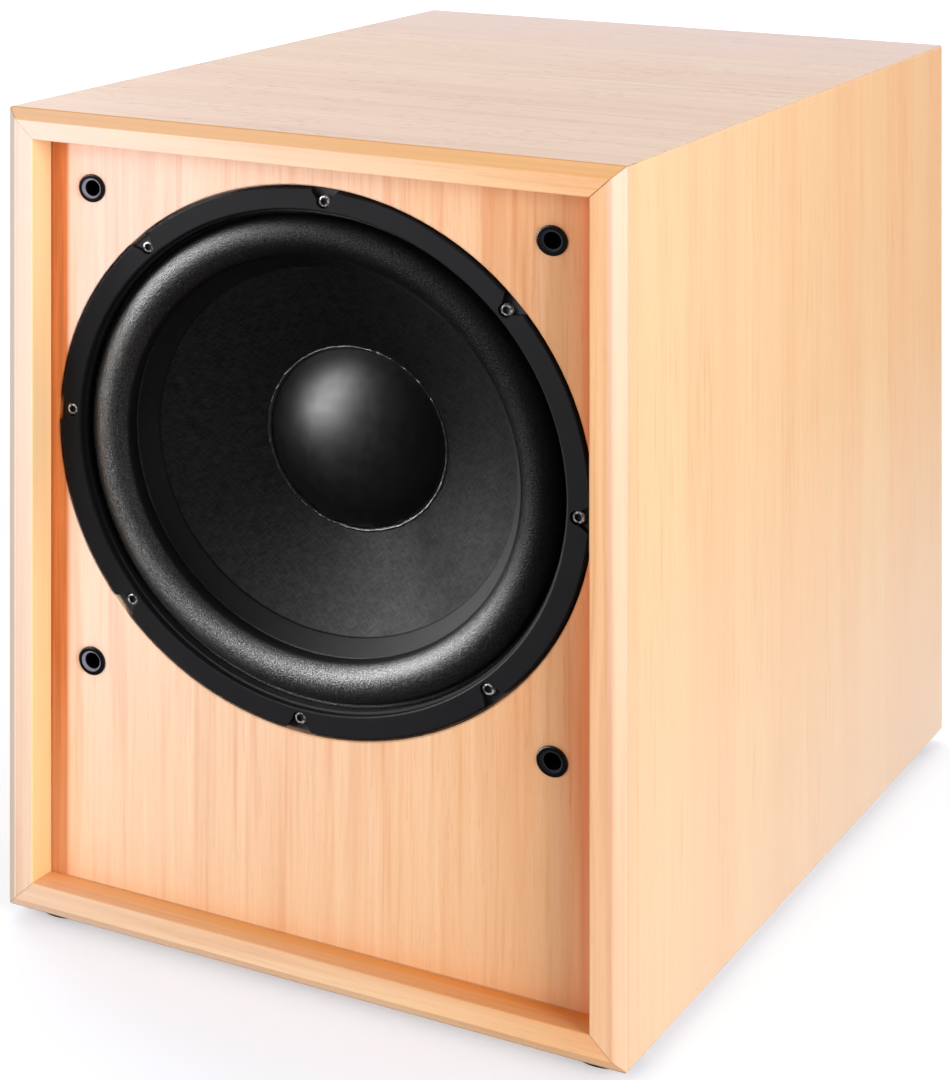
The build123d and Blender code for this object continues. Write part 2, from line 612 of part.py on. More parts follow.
# Terminal block on the basket with two solder tabs, each showing at both ends
BLOCK_X, TAB_X = -94.6, -95.6
BLOCK_W, BLOCK_H, BLOCK_D = 9.8, 30.0, 13.4
Y_BLOCK_BACK = Y_BAFFLE + 92.0 + MOTOR_SETBACK
TAB_T = 0.8
REAR_TAB_H, REAR_TAB_L = 6.3, 9.0
FRONT_TAB_H, FRONT_TAB_L = 5.0, 5.0
TAB_DZ = 7.0             # tabs above and below the driver axis
with BuildPart() as driver_terminals:
    with BuildSketch(back(Y_BLOCK_BACK, x=BLOCK_X, z=Z_DRIVER)):
        RectangleRounded(BLOCK_W, BLOCK_H, 1.2)
    extrude(amount=-BLOCK_D)
    with BuildSketch(back(Y_BLOCK_BACK, x=TAB_X, z=Z_DRIVER)):
        with Locations((0, TAB_DZ), (0, -TAB_DZ)):
            Rectangle(TAB_T, REAR_TAB_H)
    extrude(amount=REAR_TAB_L)
    with BuildSketch(front(Y_BLOCK_BACK - BLOCK_D, x=TAB_X, z=Z_DRIVER)):
        with Locations((0, TAB_DZ), (0, -TAB_DZ)):
            Rectangle(TAB_T, FRONT_TAB_H)
    extrude(amount=FRONT_TAB_L)
save(driver_terminals, "driver_terminals")

# Flexible lead-out wires from the cone to the terminal block: (x, depth)
LEAD_PATH = [(-60.5, 66.2), (-73.0, 74.5), (-86.0, 73.0), (-95.4, 72.4 + MOTOR_SETBACK)]
LEAD_R = 0.8
with BuildPart() as tinsel_leads:
    for sign in (-1, 1):
        with BuildLine():
            path = Spline(*[(x, Y_BAFFLE + depth, Z_DRIVER + sign * TAB_DZ)
                            for x, depth in LEAD_PATH])
        with BuildSketch(Plane(origin=path @ 0, z_dir=path % 0)):
            Circle(LEAD_R)
        sweep(path=path)
save(tinsel_leads, "tinsel_leads")

# ================================================================ amplifier
# Rear features are placed in plate coordinates: u to the right seen from
# behind, v up from the plate centre, w outwards from the plate's outer face.
LEVEL_UV = (-78.0, 100.0)
CROSSOVER_UV = (-26.0, 100.0)
PHASE_UV = (28.0, 104.0)
MODE_UV = (78.0, 104.0)
LED_UV = (92.0, 124.0)
RCA_UV = [(28.0, 52.0), (58.0, 52.0)]
ROCKER_U, ROCKER_V = ROCKER_UV = (24.0, -70.0)
INLET_U, INLET_V = INLET_UV = (72.0, -68.0)
SINK_U, SINK_V = SINK_UV = (-52.0, -62.0)
TOROID_U, TOROID_V = TOROID_UV = (-50.0, -60.0)

CONTROLS = [("level", LEVEL_UV), ("crossover", CROSSOVER_UV)]
POTS = [LEVEL_UV, CROSSOVER_UV]
SWITCHES = [PHASE_UV, MODE_UV]
SWITCH_SCREWS = [(u + du, v) for u, v in SWITCHES for du in (-10.5, 10.5)]
SINK_SCREWS = [(SINK_U + du, SINK_V + dv) for du in (-44, 44) for dv in (-62, 62)]

SLOT_W, SLOT_H = 10.2, 4.6               # slide switch slots
ROCKER_W, ROCKER_H = 12.8, 19.6          # opening in the rocker housing
INLET_W, INLET_H = 27.6, 45.0            # mains inlet cutout
PILLARS = [(-88, 22), (88, 22), (-88, 116), (88, 116)]
PILLAR_R, PILLAR_H = 3.4, 12.0
SMALL_HOLE_R = 1.3


def plate_plane(w=0.0):
    """Rear-facing plane at height w above the outer face of the amplifier plate."""
    return back(Y_PLATE + w, z=Z_MID)


with BuildPart() as amp_plate:
    with BuildSketch(plate_plane()):
        RectangleRounded(PLATE_W, PLATE_H, PLATE_CORNER_R)
        with Locations(*PLATE_SCREWS):
            Circle(2.2, mode=Mode.SUBTRACT)
        with Locations(*POTS):
            Circle(3.6, mode=Mode.SUBTRACT)
        with Locations(*SWITCHES):
            Rectangle(SLOT_W, SLOT_H, mode=Mode.SUBTRACT)
        with Locations(*SWITCH_SCREWS):
            Circle(SMALL_HOLE_R, mode=Mode.SUBTRACT)
        with Locations(LED_UV):
            Circle(2.6, mode=Mode.SUBTRACT)
        with Locations(*RCA_UV):
            Circle(5.2, mode=Mode.SUBTRACT)
        with Locations(ROCKER_UV):
            Rectangle(ROCKER_W + 3.2, ROCKER_H + 3.2, mode=Mode.SUBTRACT)
        with Locations(INLET_UV):
            Rectangle(INLET_W, INLET_H, mode=Mode.SUBTRACT)
        with Locations(*SINK_SCREWS):
            Circle(SMALL_HOLE_R, mode=Mode.SUBTRACT)
        with Locations(TOROID_UV):
            Circle(2.6, mode=Mode.SUBTRACT)
    extrude(amount=-PLATE_T)
    chamfer(amp_plate.faces().sort_by(Axis.Y)[-1].outer_wire().edges(), 0.8)
    # pressed-in pillars that carry the circuit board
    with BuildSketch(plate_plane(-PLATE_T)):
        with Locations(*PILLARS):
            RegularPolygon(PILLAR_R, 6)
    extrude(amount=-PILLAR_H)
save(amp_plate, "amp_plate")

# Gasket between the plate and the rear panel
with BuildPart() as amp_gasket:
    with BuildSketch(plate_plane(-PLATE_T)):
        RectangleRounded(PLATE_W - 3, PLATE_H - 3, PLATE_CORNER_R - 1)
        RectangleRounded(AMP_CUT_W + 4, AMP_CUT_H + 4, AMP_CUT_R, mode=Mode.SUBTRACT)
        with Locations(*PLATE_SCREWS):
            Circle(2.6, mode=Mode.SUBTRACT)
    extrude(amount=-PLATE_GASKET_T)
save(amp_gasket, "amp_gasket")

# Cross-head screws round the plate
AMP_HEAD_R, AMP_HEAD_H = 3.9, 2.2
AMP_CROSS_L, AMP_CROSS_W, AMP_CROSS_D = 4.2, 0.9, 1.3
AMP_SHANK_R, AMP_SHANK_L = 1.8, 19.0
with BuildPart() as amp_screws:
    with BuildSketch(plate_plane()):
        with Locations(*PLATE_SCREWS):
            Circle(AMP_HEAD_R)
    extrude(amount=AMP_HEAD_H)
    fillet(amp_screws.faces().filter_by(Axis.Y).group_by(Axis.Y)[-1].edges(), 1.2)
    with BuildSketch(plate_plane(AMP_HEAD_H)):
        with Locations(*PLATE_SCREWS):
            Rectangle(AMP_CROSS_L, AMP_CROSS_W)
            Rectangle(AMP_CROSS_W, AMP_CROSS_L)
    extrude(amount=-AMP_CROSS_D, mode=Mode.SUBTRACT)
    with BuildSketch(plate_plane()):
        with Locations(*PLATE_SCREWS):
            Circle(AMP_SHANK_R)
    extrude(amount=-AMP_SHANK_L)
save(amp_screws, "amp_screws")

# Finned heatsink on the outside of the plate; its fins reach the overall depth
SINK_W, SINK_H, SINK_BASE_T = 96.0, 140.0, 3.0
FIN_COUNT, FIN_PITCH, FIN_T = 10, 8.0, 2.0
FIN_L = REAR_OUT - (Y_PLATE - Y_BACK) - SINK_BASE_T
with BuildPart() as heatsink:
    with BuildSketch(plate_plane()):
        with Locations(SINK_UV):
            Rectangle(SINK_W, SINK_H)
        with Locations(*SINK_SCREWS):
            Circle(SMALL_HOLE_R, mode=Mode.SUBTRACT)
    extrude(amount=SINK_BASE_T)
    with BuildSketch(plate_plane(SINK_BASE_T)):
        with Locations(SINK_UV):
            with GridLocations(FIN_PITCH, 0.0, FIN_COUNT, 1):
                Rectangle(FIN_T, SINK_H)
    extrude(amount=FIN_L, taper=1.2)
save(heatsink, "heatsink")

# Rotary controls: pot bodies with a bush through the plate
POT_W, POT_H, POT_D = 16.0, 17.0, 8.0
BUSH_R, BUSH_BORE_R, BUSH_OUT = 3.5, 3.1, 4.2
with BuildPart() as pot_bodies:
    with BuildSketch(plate_plane(-PLATE_T)):
        with Locations(*POTS):
            RectangleRounded(POT_W, POT_H, 1.0)
            Circle(BUSH_BORE_R, mode=Mode.SUBTRACT)
    extrude(amount=-POT_D)
    with BuildSketch(plate_plane(-PLATE_T)):
        with Locations(*POTS):
            Circle(BUSH_R)
            Circle(BUSH_BORE_R, mode=Mode.SUBTRACT)
    extrude(amount=PLATE_T + BUSH_OUT)
save(pot_bodies, "pot_bodies")

# Shafts, each with a flat on the upper side of its outer end
SHAFT_R = 3.0
SHAFT_IN, SHAFT_OUT = 6.0, 12.0          # behind the plate, and beyond its outer face
FLAT_W, FLAT_H, FLAT_L = 8.0, 3.0, 8.0
FLAT_START, FLAT_DV = 5.5, 3.2
for control, (u, v) in CONTROLS:
    with BuildPart() as shaft:
        with BuildSketch(plate_plane(-PLATE_T - SHAFT_IN)):
            with Locations((u, v)):
                Circle(SHAFT_R)
        extrude(amount=PLATE_T + SHAFT_IN + SHAFT_OUT)
        with BuildSketch(plate_plane(FLAT_START)):
            with Locations((u, v + FLAT_DV)):
                Rectangle(FLAT_W, FLAT_H)
        extrude(amount=FLAT_L, mode=Mode.SUBTRACT)
    save(shaft, f"{control}_shaft")

# Fluted knobs: skirt, tapered grip, pointer groove, and a stepped bore behind
KNOB_R, KNOB_H = 10.0, 14.0
KNOB_GAP = 1.0           # clearance to the plate
SKIRT_R, SKIRT_H = KNOB_R + 1.4, 2.6
SKIRT_TOP = KNOB_GAP + SKIRT_H
FLUTE_COUNT, FLUTE_R = 20, 0.8
FLUTE_L = KNOB_H - 4.8
POINTER_W, POINTER_L, POINTER_D, POINTER_DV = 1.1, 8.0, 0.7, 5.8
RECESS_R, RECESS_D = 6.4, 4.2
KNOB_BORE_R, KNOB_BORE_D = 3.05, 7.2
for control, (u, v) in CONTROLS:
    with BuildPart() as knob:
        with BuildSketch(plate_plane(KNOB_GAP)):
            with Locations((u, v)):
                Circle(SKIRT_R)
        extrude(amount=SKIRT_H)
        with BuildSketch(plate_plane(SKIRT_TOP)):
            with Locations((u, v)):
                Circle(KNOB_R)
        extrude(amount=KNOB_H - SKIRT_H, taper=3)
        fillet(knob.faces().sort_by(Axis.Y)[-1].edges(), 1.0)
        with BuildSketch(plate_plane(SKIRT_TOP)):
            with Locations((u, v)):
                with PolarLocations(KNOB_R + 0.25, FLUTE_COUNT, start_angle=9):
                    Circle(FLUTE_R)
        extrude(amount=FLUTE_L, mode=Mode.SUBTRACT)
        with BuildSketch(plate_plane(KNOB_GAP + KNOB_H)):
            with Locations((u, v + POINTER_DV)):
                Rectangle(POINTER_W, POINTER_L)
        extrude(amount=-POINTER_D, mode=Mode.SUBTRACT)
        with BuildSketch(plate_plane(KNOB_GAP)):
            with Locations((u, v)):
                Circle(RECESS_R)
        extrude(amount=RECESS_D, mode=Mode.SUBTRACT)
        with BuildSketch(plate_plane(KNOB_GAP + RECESS_D)):
            with Locations((u, v)):
                Circle(KNOB_BORE_R)
        extrude(amount=KNOB_BORE_D, mode=Mode.SUBTRACT)
    save(knob, f"{control}_knob")

# Slide switch bodies behind the plate: flange, case and slider recess
SWITCH_FLANGE_W, SWITCH_FLANGE_H, SWITCH_FLANGE_T = 27.0, 9.0, 0.8
SWITCH_W, SWITCH_H, SWITCH_D = 15.0, 8.0, 7.0
SWITCH_RECESS_D = 4.0
with BuildPart() as switch_bodies:
    with BuildSketch(plate_plane(-PLATE_T)):
        with Locations(*SWITCHES):
            RectangleRounded(SWITCH_FLANGE_W, SWITCH_FLANGE_H, 0.6)
        with Locations(*SWITCH_SCREWS):
            Circle(1.25, mode=Mode.SUBTRACT)
    extrude(amount=-SWITCH_FLANGE_T)
    with BuildSketch(plate_plane(-PLATE_T - SWITCH_FLANGE_T)):
        with Locations(*SWITCHES):
            Rectangle(SWITCH_W, SWITCH_H)
    extrude(amount=-SWITCH_D)
    with BuildSketch(plate_plane(-PLATE_T)):
        with Locations(*SWITCHES):
            Rectangle(SLOT_W + 1.4, SLOT_H + 1.0)
    extrude(amount=-SWITCH_RECESS_D, mode=Mode.SUBTRACT)
save(switch_bodies, "switch_bodies")

# Small pan-head screws that hold the heatsink and the slide switches
PAN_HEAD_R, PAN_HEAD_H = 2.4, 1.5
PAN_CROSS_L, PAN_CROSS_W, PAN_CROSS_D = 3.0, 0.7, 0.8
PAN_SHANK_R, PAN_SHANK_L = 1.2, 7.5
with BuildPart() as small_screws:
    for seat, spots in ((SINK_BASE_T, SINK_SCREWS), (0.0, SWITCH_SCREWS)):
        with BuildSketch(plate_plane(seat)):
            with Locations(*spots):
                Circle(PAN_HEAD_R)
        extrude(amount=PAN_HEAD_H)
        head_y = Y_PLATE + seat + PAN_HEAD_H
        head_faces = small_screws.faces().filter_by(Axis.Y).filter_by_position(
            Axis.Y, head_y - 0.01, head_y + 0.01)
        fillet(head_faces.edges(), 0.8)
        with BuildSketch(plate_plane(seat + PAN_HEAD_H)):
            with Locations(*spots):
                Rectangle(PAN_CROSS_L, PAN_CROSS_W)
                Rectangle(PAN_CROSS_W, PAN_CROSS_L)
        extrude(amount=-PAN_CROSS_D, mode=Mode.SUBTRACT)
        with BuildSketch(plate_plane(seat)):
            with Locations(*spots):
                Circle(PAN_SHANK_R)
        extrude(amount=-PAN_SHANK_L)
save(small_screws, "small_screws")

# Ribbed sliders, off centre in their slots
SLIDER_W, SLIDER_H = 5.6, 4.2
SLIDER_IN, SLIDER_OUT = 3.0, 2.4         # behind the plate, and beyond its outer face
SLIDER_DU = -2.0
GROOVE_COUNT, GROOVE_PITCH, GROOVE_W, GROOVE_D = 3, 1.6, 0.6, 0.6
for switch, (u, v) in (("phase", PHASE_UV), ("mode", MODE_UV)):
    with BuildPart() as slider:
        with BuildSketch(plate_plane(-PLATE_T - SLIDER_IN)):
            with Locations((u + SLIDER_DU, v)):
                Rectangle(SLIDER_W, SLIDER_H)
        extrude(amount=PLATE_T + SLIDER_IN + SLIDER_OUT)
        with BuildSketch(plate_plane(SLIDER_OUT)):
            with Locations((u + SLIDER_DU, v)):
                with GridLocations(GROOVE_PITCH, 0, GROOVE_COUNT, 1):
                    Rectangle(GROOVE_W, SLIDER_H)
        extrude(amount=-GROOVE_D, mode=Mode.SUBTRACT)
    save(slider, f"{switch}_slider")

# Line input sockets: metal shells and insulators
SHELL_FLANGE_R, SHELL_FLANGE_T = 6.2, 1.4
SHELL_R, SHELL_BORE_R, SHELL_L = 4.15, 3.0, 7.6
with BuildPart() as rca_shells:
    with BuildSketch(plate_plane()):
        with Locations(*RCA_UV):
            Circle(SHELL_FLANGE_R)
            Circle(SHELL_BORE_R, mode=Mode.SUBTRACT)
    extrude(amount=SHELL_FLANGE_T)
    with BuildSketch(plate_plane(SHELL_FLANGE_T)):
        with Locations(*RCA_UV):
            Circle(SHELL_R)
            Circle(SHELL_BORE_R, mode=Mode.SUBTRACT)
    extrude(amount=SHELL_L)
save(rca_shells, "rca_shells")

INSULATOR_R, INSULATOR_BORE_R, INSULATOR_OUT = 2.95, 1.6, 5.0
INSULATOR_BACK_R, INSULATOR_BACK_D = 6.4, 5.0
with BuildPart() as rca_insulators:
    with BuildSketch(plate_plane(INSULATOR_OUT)):
        with Locations(*RCA_UV):
            Circle(INSULATOR_R)
            Circle(INSULATOR_BORE_R, mode=Mode.SUBTRACT)
    extrude(amount=-(PLATE_T + INSULATOR_OUT))
    with BuildSketch(plate_plane(-PLATE_T)):
        with Locations(*RCA_UV):
            Circle(INSULATOR_BACK_R)
            Circle(INSULATOR_BORE_R, mode=Mode.SUBTRACT)
    extrude(amount=-INSULATOR_BACK_D)
save(rca_insulators, "rca_insulators")

# Status light
LED_R, LED_IN, LED_OUT = 2.5, 4.0, 1.8
with BuildPart() as status_led:
    with BuildSketch(plate_plane(-PLATE_T - LED_IN)):
        with Locations(LED_UV):
            Circle(LED_R)
    extrude(amount=PLATE_T + LED_IN + LED_OUT)
    fillet(status_led.faces().sort_by(Axis.Y)[-1].edges(), 1.7)
save(status_led, "status_led")

# Mains rocker switch: bezel housing with a closed back and four tabs
ROCKER_X = -ROCKER_U
ROCKER_Y = Y_PLATE - 1.0                 # pivot axis, along X
ROCKER_Z = Z_MID + ROCKER_V
BEZEL_RIM, BEZEL_T = 6.4, 1.8            # rims are both sides together
CASE_RIM, CASE_D, CASE_BACK_T = 3.0, 14.0, 2.0
SWITCH_TAB_W, SWITCH_TAB_H, SWITCH_TAB_L = 0.8, 4.8, 8.0
BEARING_R, BEARING_L = 1.3, 14.8         # through both bearing holes
with BuildPart() as rocker_housing:
    with BuildSketch(plate_plane()):
        with Locations(ROCKER_UV):
            RectangleRounded(ROCKER_W + BEZEL_RIM, ROCKER_H + BEZEL_RIM, 1.4)
            Rectangle(ROCKER_W, ROCKER_H, mode=Mode.SUBTRACT)
    extrude(amount=BEZEL_T)
    chamfer(rocker_housing.faces().sort_by(Axis.Y)[-1].outer_wire().edges(), 0.6)
    with BuildSketch(plate_plane()):
        with Locations(ROCKER_UV):
            Rectangle(ROCKER_W + CASE_RIM, ROCKER_H + CASE_RIM)
            Rectangle(ROCKER_W, ROCKER_H, mode=Mode.SUBTRACT)
    extrude(amount=-CASE_D)
    with BuildSketch(plate_plane(-CASE_D)):
        with Locations(ROCKER_UV):
            Rectangle(ROCKER_W + CASE_RIM, ROCKER_H + CASE_RIM)
    extrude(amount=-CASE_BACK_T)
    with BuildSketch(plate_plane(-CASE_D - CASE_BACK_T)):
        with Locations(ROCKER_UV):
            with GridLocations(7.0, 9.0, 2, 2):
                Rectangle(SWITCH_TAB_W, SWITCH_TAB_H)
    extrude(amount=-SWITCH_TAB_L)
    # blind bearing holes for the rocker's pivot stubs
    with BuildSketch(Plane(origin=(ROCKER_X - BEARING_L / 2, ROCKER_Y, ROCKER_Z),
                           x_dir=(0, 1, 0), z_dir=(1, 0, 0))):
        Circle(BEARING_R)
    extrude(amount=BEARING_L, mode=Mode.SUBTRACT)
save(rocker_housing, "rocker_housing")

# Tilted rocker: profile in its own frame, local x up and local y inwards (-Y)
ROCKER_TILT = math.radians(8.0)
ROCKER_PLANE = Plane(origin=(ROCKER_X, ROCKER_Y, ROCKER_Z),
                     x_dir=(0, -math.sin(ROCKER_TILT), math.cos(ROCKER_TILT)),
                     z_dir=(1, 0, 0))
ROCKER_PROFILE = [(-8.8, -3.2), (0.0, -4.0), (8.8, -3.2), (8.2, 4.2), (-8.2, 4.2)]
ROCKER_CLEARANCE = 0.5   # both sides together
PIVOT_R, PIVOT_L = 1.15, 14.2
with BuildPart() as mains_rocker:
    with BuildSketch(ROCKER_PLANE):
        with BuildLine():
            Polyline(*ROCKER_PROFILE, close=True)
        make_face()
    extrude(amount=(ROCKER_W - ROCKER_CLEARANCE) / 2, both=True)
    with BuildSketch(Plane(origin=(ROCKER_X - PIVOT_L / 2, ROCKER_Y, ROCKER_Z),
                           x_dir=(0, 1, 0), z_dir=(1, 0, 0))):
        Circle(PIVOT_R)
    extrude(amount=PIVOT_L)
save(mains_rocker, "mains_rocker")

# Mains inlet with a fuse drawer below it
INLET_FLANGE_T, INLET_D = 2.6, 24.0
CAVITY_V = INLET_V + 7.0
CAVITY_D = 18.0
CAVITY_OUTLINE = [(-12.2, -8.4), (12.2, -8.4), (12.2, 4.2),
                  (7.8, 8.4), (-7.8, 8.4), (-12.2, 4.2)]
FUSE_V = INLET_V - 15.0
with BuildPart() as iec_inlet:
    with BuildSketch(plate_plane()):
        with Locations(INLET_UV):
            RectangleRounded(INLET_W + 4.6, INLET_H + 4.6, 2.0)
    extrude(amount=INLET_FLANGE_T)
    chamfer(iec_inlet.faces().sort_by(Axis.Y)[-1].outer_wire().edges(), 0.6)
    with BuildSketch(plate_plane()):
        with Locations(INLET_UV):
            Rectangle(INLET_W - 0.3, INLET_H - 0.3)
    extrude(amount=-INLET_D)
    with BuildSketch(plate_plane(INLET_FLANGE_T)):
        with Locations((INLET_U, CAVITY_V)):
            Polygon(*CAVITY_OUTLINE, align=None)
    extrude(amount=-CAVITY_D, mode=Mode.SUBTRACT)
    with BuildSketch(plate_plane(INLET_FLANGE_T)):
        with Locations((INLET_U, FUSE_V)):
            Rectangle(23.0, 8.0)
    extrude(amount=-23.0, mode=Mode.SUBTRACT)
save(iec_inlet, "iec_inlet")

# Three contact pins standing on the floor of the cavity
PIN_W, PIN_H, PIN_L = 2.0, 4.0, 14.0
PIN_DU, PIN_DV = 7.0, 2.0
with BuildPart() as iec_pins:
    with BuildSketch(plate_plane(INLET_FLANGE_T - CAVITY_D)):
        with Locations((INLET_U - PIN_DU, CAVITY_V - PIN_DV),
                       (INLET_U + PIN_DU, CAVITY_V - PIN_DV),
                       (INLET_U, CAVITY_V + PIN_DV)):
            Rectangle(PIN_W, PIN_H)
    extrude(amount=PIN_L)
save(iec_pins, "iec_pins")

# Fuse drawer with a raised grip outside and a pocket cut down from its top
DRAWER_FACE = 2.9
DRAWER_W, DRAWER_H, DRAWER_D = 22.6, 7.6, 21.5
with BuildPart() as fuse_drawer:
    with BuildSketch(plate_plane(DRAWER_FACE)):
        with Locations((INLET_U, FUSE_V)):
            Rectangle(DRAWER_W, DRAWER_H)
    extrude(amount=-DRAWER_D)
    with BuildSketch(plate_plane(DRAWER_FACE)):
        with Locations((INLET_U, FUSE_V)):
            RectangleRounded(9.0, 3.0, 0.8)
    extrude(amount=1.0)
    with BuildSketch(Plane(origin=(-INLET_U, Y_PLATE - 8.0, Z_MID + FUSE_V + DRAWER_H / 2),
                           x_dir=(1, 0, 0), z_dir=(0, 0, 1))):
        Rectangle(20.4, 5.8)
    extrude(amount=-6.0, mode=Mode.SUBTRACT)
save(fuse_drawer, "fuse_drawer")

# Circuit board on the plate pillars
BOARD_FACE = -PLATE_T - PILLAR_H
BOARD_W, BOARD_H, BOARD_T = 186.0, 104.0, 1.6
with BuildPart() as amp_circuit_board:
    with BuildSketch(plate_plane(BOARD_FACE)):
        with Locations((0, 69)):
            RectangleRounded(BOARD_W, BOARD_H, 2.0)
    extrude(amount=-BOARD_T)
save(amp_circuit_board, "amp_circuit_board")

CAPACITORS = [(-62, 92), (-36, 92), (-62, 62), (-36, 62)]
CAPACITOR_R, CAPACITOR_L = 11.0, 32.0
with BuildPart() as reservoir_capacitors:
    with BuildSketch(plate_plane(BOARD_FACE - BOARD_T)):
        with Locations(*CAPACITORS):
            Circle(CAPACITOR_R)
    extrude(amount=-CAPACITOR_L)
    fillet(reservoir_capacitors.faces().filter_by(Axis.Y).group_by(Axis.Y)[0].edges(), 1.2)
save(reservoir_capacitors, "reservoir_capacitors")

# Toroidal transformer: a rounded section revolved about an axis along Y
TOROID_X, TOROID_Z = -TOROID_U, Z_MID + TOROID_V
TOROID_Y = Y_PLATE - PLATE_T
with BuildPart() as toroid_transformer:
    with BuildSketch(Plane(origin=(TOROID_X, TOROID_Y - 1.0, TOROID_Z),
                           x_dir=(1, 0, 0), z_dir=(0, 0, 1))):
        with Locations((27.0, -18.0)):
            RectangleRounded(30.0, 35.6, 9.0)
    revolve(axis=Axis(origin=(TOROID_X, TOROID_Y, TOROID_Z), direction=(0, 1, 0)))
save(toroid_transformer, "toroid_transformer")

# Clamp disc, hexagon nut and bolt through the transformer
CLAMP_DEPTH = PLATE_T + 37.0
CLAMP_R, CLAMP_T = 24.0, 1.6
with BuildPart() as transformer_clamp:
    with BuildSketch(plate_plane(-CLAMP_DEPTH)):
        with Locations(TOROID_UV):
            Circle(CLAMP_R)
    extrude(amount=-CLAMP_T)
    with BuildSketch(plate_plane(-CLAMP_DEPTH - CLAMP_T)):
        with Locations(TOROID_UV):
            RegularPolygon(4.8, 6)
    extrude(amount=-4.0)
    with BuildSketch(plate_plane(-CLAMP_DEPTH)):
        with Locations(TOROID_UV):
            Circle(2.5)
    extrude(amount=CLAMP_DEPTH)
save(transformer_clamp, "transformer_clamp")

# Speaker cable, two cores, from the driver terminals to the circuit board
CORE_R = 1.6
Y_BOARD = Y_PLATE + BOARD_FACE
with BuildPart() as speaker_cable:
    for sign in (-1, 1):
        tab_z = Z_DRIVER + sign * TAB_DZ
        with BuildLine():
            path = Spline((TAB_X, Y_BAFFLE + 102.0 + MOTOR_SETBACK, tab_z),
                          (-98.0, Y_BAFFLE + 170.0, tab_z - 6),
                          (-60.0, Y_BAFFLE + 340.0, Z_MID + 88 + sign * 3.0),
                          (-66.0, Y_BOARD - 40.0, Z_MID + 66 + sign * 3.0),
                          (-78.0, Y_BOARD - 2.4, Z_MID + 66 + sign * 5.0))
        with BuildSketch(Plane(origin=path @ 0, z_dir=path % 0)):
            Circle(CORE_R)
        sweep(path=path)
save(speaker_cable, "speaker_cable")
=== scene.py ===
import json
import math

import bpy
import numpy as np
from mathutils import Matrix, Vector, noise

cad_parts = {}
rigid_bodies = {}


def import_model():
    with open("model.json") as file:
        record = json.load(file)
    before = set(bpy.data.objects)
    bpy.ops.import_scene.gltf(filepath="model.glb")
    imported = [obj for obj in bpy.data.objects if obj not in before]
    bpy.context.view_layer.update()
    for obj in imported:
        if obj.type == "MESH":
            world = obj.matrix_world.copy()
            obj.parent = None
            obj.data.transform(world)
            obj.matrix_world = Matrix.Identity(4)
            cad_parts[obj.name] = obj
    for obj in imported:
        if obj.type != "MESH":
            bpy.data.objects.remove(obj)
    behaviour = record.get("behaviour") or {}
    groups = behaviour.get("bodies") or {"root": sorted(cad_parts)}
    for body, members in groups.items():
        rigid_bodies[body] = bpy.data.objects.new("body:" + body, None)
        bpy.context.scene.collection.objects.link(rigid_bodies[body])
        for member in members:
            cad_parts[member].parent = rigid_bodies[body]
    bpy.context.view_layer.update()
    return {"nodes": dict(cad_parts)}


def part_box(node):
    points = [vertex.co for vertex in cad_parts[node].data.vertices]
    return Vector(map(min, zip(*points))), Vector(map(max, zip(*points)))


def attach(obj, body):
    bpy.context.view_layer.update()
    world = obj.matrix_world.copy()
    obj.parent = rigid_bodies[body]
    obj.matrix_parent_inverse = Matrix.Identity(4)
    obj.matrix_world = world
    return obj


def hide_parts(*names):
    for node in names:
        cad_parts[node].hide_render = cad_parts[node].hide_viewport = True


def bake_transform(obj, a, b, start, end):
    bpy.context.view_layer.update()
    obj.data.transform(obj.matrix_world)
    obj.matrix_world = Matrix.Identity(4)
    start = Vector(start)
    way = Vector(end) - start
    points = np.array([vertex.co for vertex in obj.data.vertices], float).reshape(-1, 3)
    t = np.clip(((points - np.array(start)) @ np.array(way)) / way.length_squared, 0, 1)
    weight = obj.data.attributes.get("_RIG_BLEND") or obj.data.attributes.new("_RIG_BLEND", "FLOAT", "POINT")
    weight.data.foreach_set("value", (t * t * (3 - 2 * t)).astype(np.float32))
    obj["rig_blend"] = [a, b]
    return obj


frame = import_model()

nodes = frame["nodes"]
scene = bpy.context.scene
MM = 0.001

# ------------------------------------------------------------------ datums (metres)
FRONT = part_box("frame_top")[0].y             # front face of the wooden frame
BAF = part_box("panel_left")[0].y              # front face of the baffle
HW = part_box("panel_left")[0].x * -1.0        # half width of the cabinet
Z0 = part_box("panel_bottom")[0].z
Z1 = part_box("panel_top")[1].z
ZC = (Z0 + Z1) / 2
HH = (Z1 - Z0) / 2
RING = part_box("driver_trim_ring")
ZD = (RING[0].z + RING[1].z) / 2             # driver axis height
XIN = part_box("front_baffle")[1].x
PLATE_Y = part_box("amp_plate")[1].y           # outer face of the amplifier plate
PLATE_Z = (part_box("amp_plate")[0].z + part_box("amp_plate")[1].z) / 2
CHAM = 0.0062


